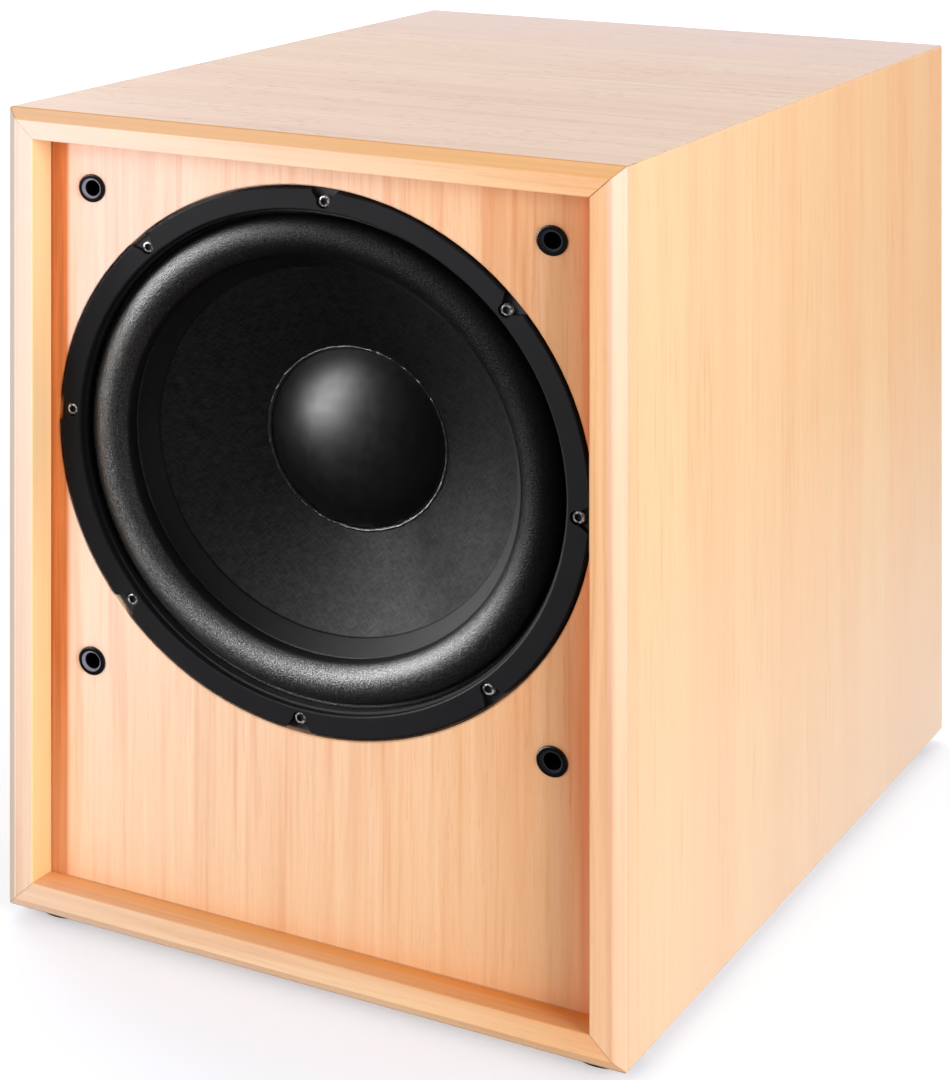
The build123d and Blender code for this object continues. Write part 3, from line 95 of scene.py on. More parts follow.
# ------------------------------------------------------------------ node helpers
class Mat:
    """A small writer for shader node trees."""

    def __init__(self, name):
        self.m = bpy.data.materials.new(name)
        self.m.use_nodes = True
        self.t = self.m.node_tree
        self.t.nodes.clear()
        self.out = self.t.nodes.new("ShaderNodeOutputMaterial")
        self.co = self.t.nodes.new("ShaderNodeTexCoord").outputs["Object"]
        self._xyz = None

    def node(self, kind, **kw):
        n = self.t.nodes.new(kind)
        for k, v in kw.items():
            setattr(n, k, v)
        return n

    def put(self, sock, v):
        if v is None:
            return
        if hasattr(v, "is_linked") or isinstance(v, bpy.types.NodeSocket):
            self.t.links.new(v, sock)
        elif isinstance(v, (tuple, list)):
            v = tuple(v)
            if len(sock.default_value) == 4 and len(v) == 3:
                v = v + (1.0,)
            sock.default_value = v
        else:
            sock.default_value = v

    def f(self, op, a, b=None, c=None, clamp=False):
        n = self.node("ShaderNodeMath", operation=op, use_clamp=clamp)
        for i, v in enumerate((a, b, c)):
            self.put(n.inputs[i], v)
        return n.outputs[0]

    def vec(self, x=0.0, y=0.0, z=0.0):
        n = self.node("ShaderNodeCombineXYZ")
        for i, v in enumerate((x, y, z)):
            self.put(n.inputs[i], v)
        return n.outputs[0]

    @property
    def xyz(self):
        if self._xyz is None:
            n = self.node("ShaderNodeSeparateXYZ")
            self.put(n.inputs[0], self.co)
            self._xyz = (n.outputs[0], n.outputs[1], n.outputs[2])
        return self._xyz

    def v(self, op, a, b=None, scale=None):
        n = self.node("ShaderNodeVectorMath", operation=op)
        self.put(n.inputs[0], a)
        if b is not None:
            self.put(n.inputs[1], b)
        if scale is not None:
            self.put(n.inputs["Scale"], scale)
        return n.outputs[1] if op in ("LENGTH", "DOT_PRODUCT", "DISTANCE") else n.outputs[0]

    def noise(self, vec, scale=1.0, detail=2.0, rough=0.5, dist=0.0, color=False):
        n = self.node("ShaderNodeTexNoise")
        self.put(n.inputs["Vector"], vec)
        self.put(n.inputs["Scale"], scale)
        self.put(n.inputs["Detail"], detail)
        self.put(n.inputs["Roughness"], rough)
        self.put(n.inputs["Distortion"], dist)
        return n.outputs["Color" if color else "Fac"]

    def voronoi(self, vec, scale=1.0, feature="F1", out="Distance", rand=1.0):
        n = self.node("ShaderNodeTexVoronoi", feature=feature)
        self.put(n.inputs["Vector"], vec)
        self.put(n.inputs["Scale"], scale)
        self.put(n.inputs["Randomness"], rand)
        return n.outputs[out]

    def ramp(self, fac, stops, interp="LINEAR"):
        n = self.node("ShaderNodeValToRGB")
        cr = n.color_ramp
        cr.interpolation = interp
        while len(cr.elements) > 1:
            cr.elements.remove(cr.elements[-1])
        for i, (p, c) in enumerate(stops):
            e = cr.elements[0] if i == 0 else cr.elements.new(p)
            e.position = p
            if not isinstance(c, (tuple, list)):
                c = (c, c, c)
            e.color = tuple(c) + (1.0,)
        self.put(n.inputs[0], fac)
        return n.outputs[0]

    def step(self, v, lo, hi, smooth=True, a=0.0, b=1.0):
        n = self.node("ShaderNodeMapRange")
        n.interpolation_type = "SMOOTHSTEP" if smooth else "LINEAR"
        n.clamp = True
        self.put(n.inputs["Value"], v)
        self.put(n.inputs["From Min"], lo)
        self.put(n.inputs["From Max"], hi)
        self.put(n.inputs["To Min"], a)
        self.put(n.inputs["To Max"], b)
        return n.outputs[0]

    def mix(self, fac, a, b, blend="MIX"):
        n = self.node("ShaderNodeMix", data_type="RGBA", blend_type=blend)
        self.put(n.inputs[0], fac)
        self.put(n.inputs[6], a)
        self.put(n.inputs[7], b)
        return n.outputs[2]

    def mixf(self, fac, a, b):
        n = self.node("ShaderNodeMix", data_type="FLOAT")
        self.put(n.inputs[0], fac)
        self.put(n.inputs[2], a)
        self.put(n.inputs[3], b)
        return n.outputs[0]

    def bump(self, height, strength=0.3, distance=0.0002, normal=None):
        n = self.node("ShaderNodeBump")
        self.put(n.inputs["Strength"], strength)
        self.put(n.inputs["Distance"], distance)
        self.put(n.inputs["Height"], height)
        if normal is not None:
            self.put(n.inputs["Normal"], normal)
        return n.outputs[0]

    def bevel(self, radius, samples=4):
        n = self.node("ShaderNodeBevel", samples=samples)
        self.put(n.inputs["Radius"], radius)
        return n.outputs[0]

    def surface(self, **kw):
        p = self.node("ShaderNodeBsdfPrincipled")
        for k, v in kw.items():
            self.put(p.inputs[k.replace("_", " ")], v)
        self.t.links.new(p.outputs[0], self.out.inputs["Surface"])
        return self.m


def lin(r, g, b):
    """sRGB 0-255 to linear."""
    def one(c):
        c /= 255.0
        return c / 12.92 if c <= 0.04045 else ((c + 0.055) / 1.055) ** 2.4
    return (one(r), one(g), one(b))


# ------------------------------------------------------------------ wood
def grain(b, axis, seed, warp=0.0035, streak=0.5, pore=0.5, fleck=0.0, lines=0.0,
          tones=None, broad=(13.0, 0.9), dash=0.0):
    """Layered straight-grained wood. Returns (colour, height, gloss) sockets."""
    tone_a, tone_b, tone_c, tone_d = tones
    base = b.v("ADD", b.co, (seed * 1.37, seed * 0.73, seed * 2.11))

    def sc(across, along):
        v = [across, across, across]
        v[axis] = along
        return v

    low = b.noise(b.v("MULTIPLY", base, sc(9.0, 2.2)), 1.0, 1.0, 0.5, color=True)
    shift = b.v("MULTIPLY", b.v("SUBTRACT", low, (0.5, 0.5, 0.5)), [warp * 2 if i != axis else 0.0 for i in range(3)])
    p = b.v("ADD", base, shift)
    wide = b.noise(b.v("MULTIPLY", p, sc(*broad)), 1.0, 2.0, 0.5)
    med = b.noise(b.v("MULTIPLY", p, sc(75.0, 1.6)), 1.0, 3.0, 0.55)
    stk = b.noise(b.v("MULTIPLY", p, sc(230.0, 5.0)), 1.0, 2.0, 0.6)
    fine = b.noise(b.v("MULTIPLY", p, sc(1100.0, 22.0)), 1.0, 3.0, 0.65)
    por = b.noise(b.v("MULTIPLY", p, sc(1500.0, 75.0)), 1.0, 1.0, 0.5)

    col = b.mix(b.step(wide, 0.36, 0.64), tone_a, tone_b)
    col = b.mix(b.f("MULTIPLY", b.step(med, 0.45, 0.72), 0.55 * streak), col, tone_c)
    col = b.mix(b.f("MULTIPLY", b.step(stk, 0.50, 0.76), 0.75 * streak), col, tone_c)
    col = b.mix(b.f("MULTIPLY", b.step(stk, 0.46, 0.28), 0.55 * streak), col, tone_d)
    col = b.mix(b.f("MULTIPLY", b.step(fine, 0.50, 0.78), 0.34 * streak), col, tone_c)
    pm = b.step(por, 0.63, 0.74)
    dark = b.mix(1.0, tone_c, (0.62, 0.50, 0.42), "MULTIPLY")
    col = b.mix(b.f("MULTIPLY", pm, 0.30 * pore), col, dark)
    height = b.f("ADD", b.f("MULTIPLY", fine, 0.6), b.f("MULTIPLY", pm, -0.7 * pore))
    if dash > 0:
        da = b.noise(b.v("MULTIPLY", p, sc(430.0, 17.0)), 1.0, 2.0, 0.55)
        dg = b.noise(b.v("MULTIPLY", base, sc(17.0, 6.0)), 1.0, 2.0, 0.6)
        dm = b.f("MULTIPLY", b.step(da, 0.52, 0.70), b.step(dg, 0.34, 0.64))
        col = b.mix(b.f("MULTIPLY", dm, dash), col, tone_c)
    if fleck > 0:
        fl = b.noise(b.v("MULTIPLY", p, sc(640.0, 110.0)), 1.0, 1.0, 0.5)
        gate = b.noise(b.v("MULTIPLY", base, sc(34.0, 16.0)), 1.0, 2.0, 0.6)
        fm = b.f("MULTIPLY", b.step(fl, 0.57, 0.70), b.step(gate, 0.40, 0.62))
        col = b.mix(b.f("MULTIPLY", fm, 0.50 * fleck), col, dark)
        height = b.f("ADD", height, b.f("MULTIPLY", fm, -0.4))
    if lines > 0:
        ax = [i for i in range(3) if i != axis]
        s = b.f("ADD", b.xyz[ax[0]], b.f("MULTIPLY", b.xyz[ax[1]], 0.6))
        wob = b.noise(b.v("MULTIPLY", base, sc(26.0, 3.6)), 1.0, 2.0, 0.5)
        ph = b.f("ADD", b.f("MULTIPLY", s, 1150.0), b.f("MULTIPLY", wob, 21.0))
        sn = b.f("SINE", ph)
        env = b.noise(b.v("MULTIPLY", base, sc(70.0, 5.0)), 1.0, 1.0, 0.5)
        lm = b.f("MULTIPLY", b.step(sn, 0.25, 1.0), b.step(env, 0.35, 0.65))
        col = b.mix(b.f("MULTIPLY", lm, 0.62 * lines), col, tone_c)
    gloss = b.f("ADD", b.f("MULTIPLY", b.noise(b.v("MULTIPLY", base, sc(60.0, 18.0)), 1.0, 3.0, 0.6), 0.16),
                b.f("MULTIPLY", fine, 0.10))
    return col, height, gloss


VENEER = (lin(250, 211, 162), lin(249, 203, 155), lin(232, 176, 122), lin(253, 222, 182))
PINKISH = (lin(238, 206, 178), lin(235, 198, 172), lin(196, 146, 122), lin(244, 218, 196))
SOLID = (lin(244, 203, 158), lin(240, 192, 146), lin(214, 152, 98), lin(250, 216, 174))


def cabinet_wood(name, side, sign, seed):
    """The wood of one side of the box: veneered outside face, solid moulding in front.
    side is the axis the outer face looks along (0 = left/right, 2 = top/bottom)."""
    b = Mat(name)
    x, y, z = b.xyz
    g_axis = 2 if side == 0 else 0
    if side == 0:
        out_d = b.f("SUBTRACT", HW, b.f("ABSOLUTE", x))
        v = grain(b, 2, seed, streak=0.24, pore=0.30, tones=VENEER, broad=(15.0, 0.7), dash=0.55)
    else:
        out_d = b.f("SUBTRACT", HH, b.f("ABSOLUTE", b.f("SUBTRACT", z, ZC)))
        v = grain(b, 0, seed, streak=0.34, pore=0.8, fleck=1.0, tones=PINKISH, broad=(12.0, 1.2))
    s = grain(b, g_axis, seed + 5.3, warp=0.006, streak=0.62, pore=0.5, lines=0.6 if side == 0 else 0.30,
              tones=SOLID, broad=(45.0, 2.4))
    outer = b.step(out_d, 0.0006, 0.0003)
    col = b.mix(outer, s[0], v[0])
    height = b.mixf(outer, s[1], v[1])
    gloss = b.mixf(outer, s[2], v[2])
    if side == 0 and sign > 0:
        # painted light: the right side is painted a little darker over its upper part and paler and pinker low down
        # towards the back, evening out the side lamp's falloff
        soft = b.f("MULTIPLY", b.step(z, ZC + 0.06, Z0, smooth=False), b.step(y, FRONT, 0.36, a=0.35, b=1.0, smooth=False))
        up = b.f("MULTIPLY", b.step(z, ZC - 0.12, Z1, smooth=False), b.step(y, -0.20, 0.20, smooth=False))
        col = b.mix(b.f("MULTIPLY", up, 0.9), col, b.mix(1.0, col, lin(254, 243, 234), "MULTIPLY"))
        col = b.mix(b.f("MULTIPLY", soft, 0.72), col, lin(255, 232, 214))
    if side == 2 and sign > 0:
        # painted sheen: the rear part of the top is painted paler and pinker, a painted reflection of the bright back
        far = b.f("MULTIPLY", b.f("MULTIPLY", b.step(y, 0.05, 0.32, smooth=False), b.step(y, 0.348, 0.335)), outer)
        col = b.mix(b.f("MULTIPLY", far, 0.40), col, lin(240, 222, 226))
    # veneer edge line along the chamfer
    yd = b.f("ABSOLUTE", b.f("SUBTRACT", y, FRONT + CHAM))
    edge = b.step(yd, 0.00085, 0.00035)
    edge = b.f("MULTIPLY", edge, b.step(out_d, 0.0007, 0.0003))
    if side == 2:
        col = b.mix(b.f("MULTIPLY", edge, 0.85), col, lin(186, 128, 92))
    # mitre glue lines
    dm = b.f("ABSOLUTE", b.f("SUBTRACT", b.f("SUBTRACT", b.f("ABSOLUTE", x), HW),
                             b.f("SUBTRACT", b.f("ABSOLUTE", b.f("SUBTRACT", z, ZC)), HH)))
    mit = b.step(dm, 0.00055, 0.00015)
    mit = b.f("MULTIPLY", mit, b.step(b.noise(b.v("MULTIPLY", b.co, (220, 220, 220)), 1.0, 2.0), 0.25, 0.55))
    mit = b.f("MULTIPLY", mit, b.step(y, BAF - 0.0004, BAF - 0.0010))
    # the upper left joint is almost closed
    mit = b.f("MULTIPLY", mit, b.f("SUBTRACT", 1.0, b.f("MULTIPLY", b.step(x, 0.05, -0.05), b.f("MULTIPLY", b.step(z, ZC - 0.05, ZC + 0.05), 0.75))))
    mit = b.f("MULTIPLY", mit, b.step(z, ZC - 0.1, ZC + 0.1, a=0.40, b=1.0))
    col = b.mix(b.f("MULTIPLY", mit, 0.7), col, lin(138, 84, 48))
    # painted light: the frame is painted paler towards the left
    pale = b.f("MULTIPLY", b.step(x, 0.12, -HW, smooth=False), b.step(y, BAF + 0.002, BAF - 0.002))
    pale = b.f("MULTIPLY", pale, b.step(z, Z0 - 0.10, Z1, a=0.35, b=1.0, smooth=False))
    pale = b.f("MULTIPLY", pale, b.f("SUBTRACT", 1.0, outer))
    col = b.mix(pale, col, b.mix(0.62, col, lin(255, 238, 230)))
    # painted shade: the front faces are painted a little darker towards the right
    painted_shade_right = b.f("MULTIPLY", b.step(x, 0.06, HW, smooth=False), b.step(y, FRONT + 0.0012, FRONT + 0.0004))
    col = b.mix(painted_shade_right, col, b.mix(1.0, col, lin(247, 230, 214), "MULTIPLY"))
    # painted shade and orange bounce light on the walls of the recess: the top and bottom walls are painted more orange
    # further in and towards the right, the right wall a darker orange, the left wall a paler orange
    inner = b.step(out_d, 0.0172, 0.0178)
    if side == 2:
        recess_shade = b.f("MULTIPLY", b.step(y, FRONT + 0.001, BAF, a=0.35, b=1.0), b.step(x, -HW, HW, a=0.60, b=0.92, smooth=False))
        col = b.mix(b.f("MULTIPLY", inner, recess_shade), col, b.mix(b.step(x, -0.02, HW, smooth=False), lin(240, 164, 70), lin(240, 142, 54)))
    elif sign > 0:
        col = b.mix(b.f("MULTIPLY", inner, 0.5), col, lin(232, 152, 84))
    else:
        col = b.mix(b.f("MULTIPLY", inner, 0.70), col, lin(252, 206, 138))
    # painted highlight on the chamfers of both side edges, painted paler and pinker higher up, the left one paler
    # still; painted shade on the top chamfer, a deeper orange; the front of the bottom rail is slightly darker
    plane_d = b.f("SUBTRACT", b.f("ADD", out_d, b.f("SUBTRACT", y, FRONT)), CHAM)
    cut = b.step(b.f("ABSOLUTE", plane_d), 0.0012, 0.0005)
    if side == 0:
        chamfer_highlight = b.step(b.f("ABSOLUTE", plane_d), 0.0040, 0.0003)
        col = b.mix(chamfer_highlight, col, b.mix(b.step(z, Z0, Z1, a=0.10, b=0.55, smooth=False), b.mix(1.0, col, lin(246, 234, 226), "MULTIPLY"), lin(240, 214, 198)))
        if sign < 0:
            painted_highlight = b.f("MULTIPLY", cut, b.f("SUBTRACT", 1.0, outer))
            col = b.mix(painted_highlight, col, b.mix(b.step(z, Z0, Z1, smooth=False), lin(249, 225, 198), lin(251, 231, 214)))
    elif sign > 0:
        col = b.mix(b.f("MULTIPLY", cut, 0.68), col, lin(224, 166, 104))
    else:
        col = b.mix(b.step(y, FRONT + 0.0012, FRONT + 0.0004), col, b.mix(1.0, col, lin(255, 250, 245), "MULTIPLY"))
    nrm = b.bevel(0.0011, 4)
    bn = b.bump(height, 0.16, 0.00012, nrm)
    matt = inner
    if side == 2:
        line = b.f("MULTIPLY", b.step(yd, 0.0026, 0.0012), b.step(out_d, 0.0016, 0.0008))
        matt = b.f("MAXIMUM", b.f("MAXIMUM", inner, b.f("MULTIPLY", cut, 0.8)), line)
    return b.surface(Base_Color=col, Roughness=b.f("ADD", gloss, 0.30), Normal=bn, Specular_IOR_Level=b.mixf(matt, 0.5, 0.12),
                     Coat_Weight=b.mixf(matt, 0.35, 0.04), Coat_Roughness=0.26, Coat_Normal=nrm, IOR=1.47)


def baffle_wood(name, seed):
    b = Mat(name)
    x, y, z = b.xyz
    tones = (lin(250, 219, 186), lin(247, 208, 168), lin(226, 158, 106), lin(254, 232, 206))
    c, h, g = grain(b, 2, seed, warp=0.003, streak=0.78, pore=0.6, tones=tones, broad=(18.0, 0.6), dash=0.30)
    # painted shade and orange bounce light: darker and warmer to the right
    right = b.step(x, -0.10, XIN, smooth=False)
    right = b.f("POWER", right, 1.6)
    c = b.mix(b.f("MULTIPLY", right, 0.9), c, b.mix(1.0, c, lin(236, 198, 156), "MULTIPLY"))
    # painted shade: darker and warmer towards the bottom
    low = b.f("MULTIPLY", b.step(z, Z1 - 0.03, Z0 + 0.02, smooth=False), 0.30)
    c = b.mix(low, c, b.mix(1.0, c, lin(248, 224, 190), "MULTIPLY"))
    # painted shade and orange bounce light beside the frame, wider and stronger at the right wall
    ex = b.f("SUBTRACT", XIN, b.f("ABSOLUTE", x))
    painted_shade_near_frame = b.step(ex, b.step(x, -0.05, 0.05, a=0.0095, b=0.0220), 0.0015)
    c = b.mix(b.f("MULTIPLY", painted_shade_near_frame, b.step(x, -0.05, 0.05, a=0.55, b=0.95)), c, b.mix(1.0, c, lin(253, 186, 126), "MULTIPLY"))
    # painted light: paler towards the upper left
    pale = b.f("MULTIPLY", b.step(x, 0.09, -XIN, smooth=False), b.step(z, Z0, Z1, a=0.30, b=1.0, smooth=False))
    c = b.mix(b.f("MULTIPLY", pale, 0.9), c, b.mix(0.68, c, lin(253, 227, 222)))
    # painted shadow of the left frame in the left-hand corner of the recess: a dark orange band with a softer fringe
    # and a darker line at the corner
    lx = b.f("ADD", x, XIN)
    strip = b.step(lx, 0.0132, 0.0092)
    sn = b.noise(b.v("MULTIPLY", b.co, (420, 1, 9)), 1.0, 3.0, 0.6)
    c = b.mix(b.f("MULTIPLY", b.step(lx, 0.024, 0.010), 0.30), c, b.mix(1.0, c, lin(244, 190, 140), "MULTIPLY"))
    c = b.mix(b.f("MULTIPLY", strip, 0.95), c, b.mix(b.step(sn, 0.35, 0.65), lin(184, 92, 26), lin(208, 114, 44)))
    c = b.mix(b.f("MULTIPLY", b.step(lx, 0.0016, 0.0006), 0.6), c, lin(134, 66, 30))
    # painted shade: darker and warmer along the bottom wall, darkest in a line at the corner, and warmer over the lower
    # half
    ez = b.f("SUBTRACT", z, Z0 + 0.018)
    c = b.mix(b.f("MULTIPLY", b.step(ez, 0.010, 0.001), 0.15), c, b.mix(1.0, c, lin(240, 200, 150), "MULTIPLY"))
    c = b.mix(b.f("MULTIPLY", b.step(ez, 0.0012, 0.0004), 0.65), c, lin(150, 78, 40))
    c = b.mix(b.f("MULTIPLY", b.step(z, ZC - 0.08, Z0, smooth=False), 0.35), c, lin(248, 206, 158))
    bn = b.bump(h, 0.2, 0.00014)
    return b.surface(Base_Color=c, Roughness=b.f("ADD", g, 0.34), Normal=bn,
                     Coat_Weight=0.22, Coat_Roughness=0.32, IOR=1.47)


def rear_wood(name, seed):
    """The rear panel: the same veneer, rubbed down without a glossy coat."""
    b = Mat(name)
    x, y, z = b.xyz
    tones = (lin(240, 203, 160), lin(236, 192, 148), lin(212, 150, 100), lin(246, 216, 180))
    c, h, g = grain(b, 2, seed, warp=0.004, streak=0.7, pore=0.8, lines=0.35, tones=tones, broad=(14.0, 0.7), dash=0.5)
    ex = b.f("SUBTRACT", XIN, b.f("ABSOLUTE", x))
    ez = b.f("SUBTRACT", HH - 0.018, b.f("ABSOLUTE", b.f("SUBTRACT", z, ZC)))
    rim = b.f("MAXIMUM", b.step(ex, 0.0016, 0.0004), b.step(ez, 0.0016, 0.0004))
    c = b.mix(b.f("MULTIPLY", rim, 0.7), c, lin(132, 84, 50))
    return b.surface(Base_Color=c, Roughness=b.f("ADD", g, 0.40), Normal=b.bump(h, 0.25, 0.00016), Specular_IOR_Level=0.35)


def raw_board(name):
    """Chipboard with pressed flakes."""
    b = Mat(name)
    cell = b.voronoi(b.v("MULTIPLY", b.co, (520, 520, 520)), 1.0, out="Color")
    dist = b.voronoi(b.v("MULTIPLY", b.co, (520, 520, 520)), 1.0, feature="DISTANCE_TO_EDGE")
    n = b.noise(b.co, 900.0, 3.0, 0.6)
    sep = b.node("ShaderNodeSeparateColor")
    b.put(sep.inputs[0], cell)
    col = b.ramp(sep.outputs[0], [(0.0, lin(150, 116, 78)), (0.45, lin(182, 146, 104)), (0.8, lin(202, 170, 128)), (1.0, lin(120, 88, 58))])
    col = b.mix(b.f("MULTIPLY", n, 0.35), col, lin(214, 186, 146))
    col = b.mix(b.step(dist, 0.06, 0.0), col, lin(110, 80, 52))
    return b.surface(Base_Color=col, Roughness=0.85, Normal=b.bump(b.f("ADD", n, sep.outputs[1]), 0.35, 0.0003))


# ------------------------------------------------------------------ other materials
def rubber(name, base, rough, grain_scale, grain_str, dist=0.00012, spread=0.12, tint=(1, 1, 1), sheen=0.0, coat=0.0, spec=0.5):
    b = Mat(name)
    g1 = b.noise(b.co, grain_scale, 3.0, 0.65)
    g2 = b.noise(b.co, grain_scale * 0.21, 2.0, 0.5)
    g3 = b.noise(b.co, 22.0, 3.0, 0.6)
    dark = tuple(base * t * 0.72 for t in tint)
    light = tuple(base * t * 1.35 + 0.001 for t in tint)
    col = b.mix(b.f("ADD", b.f("MULTIPLY", g1, 0.5), b.f("MULTIPLY", g3, 0.5)), dark, light)
    r = b.f("ADD", rough - spread / 2, b.f("MULTIPLY", b.f("ADD", b.f("MULTIPLY", g2, 0.6), b.f("MULTIPLY", g3, 0.4)), spread))
    h = b.f("ADD", b.f("MULTIPLY", g1, 0.7), b.f("MULTIPLY", g2, 0.5))
    return b.surface(Base_Color=col, Roughness=r, Normal=b.bump(h, grain_str, dist),
                     Sheen_Weight=sheen, Sheen_Roughness=0.5, Coat_Weight=coat, Coat_Roughness=0.2, Specular_IOR_Level=spec)


def surround_rubber(name):
    """Half-roll rubber with a fine grain; the glued flange inside it is flatter and duller."""
    b = Mat(name)
    x, y, z = b.xyz
    dz = b.f("SUBTRACT", z, ZD)
    r = b.f("SQRT", b.f("ADD", b.f("MULTIPLY", x, x), b.f("MULTIPLY", dz, dz)))
    roll = b.step(r, 0.1150, 0.1165)
    g1 = b.noise(b.co, 1250.0, 2.0, 0.6)
    g2 = b.noise(b.co, 2600.0, 2.0, 0.6)
    g3 = b.noise(b.co, 45.0, 3.0, 0.6)
    speck = b.step(g1, 0.50, 0.68)
    # painted highlight: specks painted brighter and the specular stronger along the lower left, both weaker towards the
    # upper right
    ang = b.f("ARCTAN2", dz, x)
    worn = b.step(b.f("COSINE", b.f("SUBTRACT", ang, math.radians(222.0))), -0.75, 0.65, a=0.14, b=1.7)
    col = b.mix(g3, (0.0020, 0.0020, 0.0021), (0.0042, 0.0042, 0.0043))
    col = b.mix(b.f("MULTIPLY", b.f("MULTIPLY", speck, roll), b.f("MULTIPLY", worn, 0.7)), col, (0.022, 0.022, 0.022))
    rough = b.f("ADD", b.mixf(roll, 0.52, 0.36), b.f("MULTIPLY", g1, 0.12))
    h = b.f("ADD", b.f("MULTIPLY", g1, 0.8), b.f("MULTIPLY", g2, 0.4))
    return b.surface(Base_Color=col, Roughness=rough,
                     Specular_IOR_Level=b.mixf(roll, 0.22, b.f("MULTIPLY", b.step(g1, 0.30, 0.72, a=0.35, b=1.0), worn)),
                     Normal=b.bump(h, b.mixf(roll, 0.25, 0.75), 0.00050))


def cone_paper(name):
    """Pressed paper: short fibres laid in a loose cross-hatch."""
    b = Mat(name)
    x, y, z = b.xyz
    dz = b.f("SUBTRACT", z, ZD)
    p1 = b.vec(b.f("ADD", x, dz), 0.0, b.f("SUBTRACT", x, dz))
    a = b.noise(b.v("MULTIPLY", p1, (620, 1, 95)), 1.0, 3.0, 0.6)
    c = b.noise(b.v("MULTIPLY", p1, (95, 1, 620)), 1.0, 3.0, 0.6)
    p2 = b.vec(x, y, dz)
    d = b.noise(b.v("MULTIPLY", p2, (170, 60, 700)), 1.0, 3.0, 0.6)
    clump = b.noise(b.co, 75.0, 4.0, 0.62)
    fib = b.f("ADD", b.f("ADD", b.f("MULTIPLY", a, 0.4), b.f("MULTIPLY", c, 0.4)), b.f("MULTIPLY", d, 0.25))
    col = b.mix(b.step(fib, 0.40, 0.66), (0.0025, 0.0025, 0.0026), (0.0085, 0.0085, 0.0087))
    col = b.mix(b.f("MULTIPLY", b.step(clump, 0.35, 0.7), 0.5), col, (0.006, 0.006, 0.0062))
    r = b.step(clump, 0.3, 0.7, a=0.54, b=0.60)
    ang = b.f("ARCTAN2", dz, x)
    fan = b.f("COSINE", b.f("SUBTRACT", ang, math.radians(258.0)))
    spec = b.f("MULTIPLY", b.step(fan, 0.55, 0.98, a=0.085, b=0.22), b.step(fib, 0.36, 0.70, a=0.75, b=1.3))
    return b.surface(Base_Color=col, Roughness=r, Normal=b.bump(b.f("ADD", fib, b.f("MULTIPLY", clump, 0.25)), 0.60, 0.00022),
                     Specular_IOR_Level=spec)


def cap_paper(name):
    b = Mat(name)
    g1 = b.noise(b.co, 1500.0, 3.0, 0.6)
    g2 = b.noise(b.co, 160.0, 4.0, 0.6)
    col = b.mix(g2, (0.0008, 0.0008, 0.0009), (0.0018, 0.0018, 0.0019))
    r = b.step(g2, 0.3, 0.7, a=0.38, b=0.45)
    x, y, z = b.xyz
    dz = b.f("SUBTRACT", z, ZD)
    ax = b.f("SQRT", b.f("ADD", b.f("MULTIPLY", x, x), b.f("MULTIPLY", dz, dz)))
    crown = b.step(ax, 0.0040, 0.0022)
    geo = b.node("ShaderNodeNewGeometry").outputs["Normal"]
    nn = b.node("ShaderNodeMix", data_type="VECTOR")
    b.put(nn.inputs[0], crown)
    b.put(nn.inputs[4], b.bump(b.f("ADD", g1, b.f("MULTIPLY", g2, 0.8)), 0.28, 0.00014))
    b.put(nn.inputs[5], b.v("NORMALIZE", b.vec(b.f("MULTIPLY", x, 14.0), -1.0, b.f("MULTIPLY", dz, 14.0))))
    return b.surface(Base_Color=col, Roughness=r, Normal=nn.outputs[1],
                     Specular_IOR_Level=0.60)


def metal(name, color, rough, brushed=None, dirt=0.25, scale=300.0, metallic=1.0, spread=0.14):
    b = Mat(name)
    n1 = b.noise(b.co, scale, 4.0, 0.6)
    n2 = b.noise(b.co, 35.0, 3.0, 0.6)
    h = n1
    if brushed:
        h = b.noise(b.v("MULTIPLY", b.co, brushed), 1.0, 3.0, 0.6)
    col = b.mix(b.f("MULTIPLY", b.step(n2, 0.4, 0.75), dirt), color, tuple(c * 0.55 for c in color))
    col = b.mix(b.f("MULTIPLY", h, 0.25), col, tuple(min(1.0, c * 1.15) for c in color))
    r = b.f("ADD", rough - spread / 2, b.f("MULTIPLY", b.f("ADD", b.f("MULTIPLY", h, 0.6), b.f("MULTIPLY", n2, 0.4)), spread))
    return b.surface(Base_Color=col, Metallic=metallic, Roughness=r, Normal=b.bump(h, 0.12, 0.00005))


def plastic(name, color, rough, texture=1400.0, strength=0.14, spread=0.1, coat=0.0, metallic=0.0):
    b = Mat(name)
    n1 = b.noise(b.co, texture, 2.0, 0.5)
    n2 = b.noise(b.co, 40.0, 3.0, 0.6)
    col = b.mix(b.f("ADD", b.f("MULTIPLY", n2, 0.7), b.f("MULTIPLY", n1, 0.3)), tuple(c * 0.82 for c in color),
                tuple(min(1.0, c * 1.18 + 0.001) for c in color))
    r = b.f("ADD", rough - spread / 2, b.f("MULTIPLY", n2, spread))
    return b.surface(Base_Color=col, Roughness=r, Metallic=metallic, Normal=b.bump(n1, strength, 0.00008),
                     Coat_Weight=coat, Coat_Roughness=0.12)


def powder_coat(name, color):
    b = Mat(name)
    v = b.voronoi(b.co, 1500.0)
    n = b.noise(b.co, 700.0, 2.0, 0.5)
    w = b.noise(b.co, 12.0, 3.0, 0.6)
    col = b.mix(w, tuple(c * 0.8 for c in color), tuple(c * 1.25 for c in color))
    h = b.f("ADD", b.f("MULTIPLY", b.step(v, 0.0, 0.7), 0.7), b.f("MULTIPLY", n, 0.4))
    nrm = b.bevel(0.0004, 4)
    return b.surface(Base_Color=col, Roughness=b.step(w, 0.3, 0.7, a=0.42, b=0.54), Normal=b.bump(h, 0.35, 0.00012, nrm))


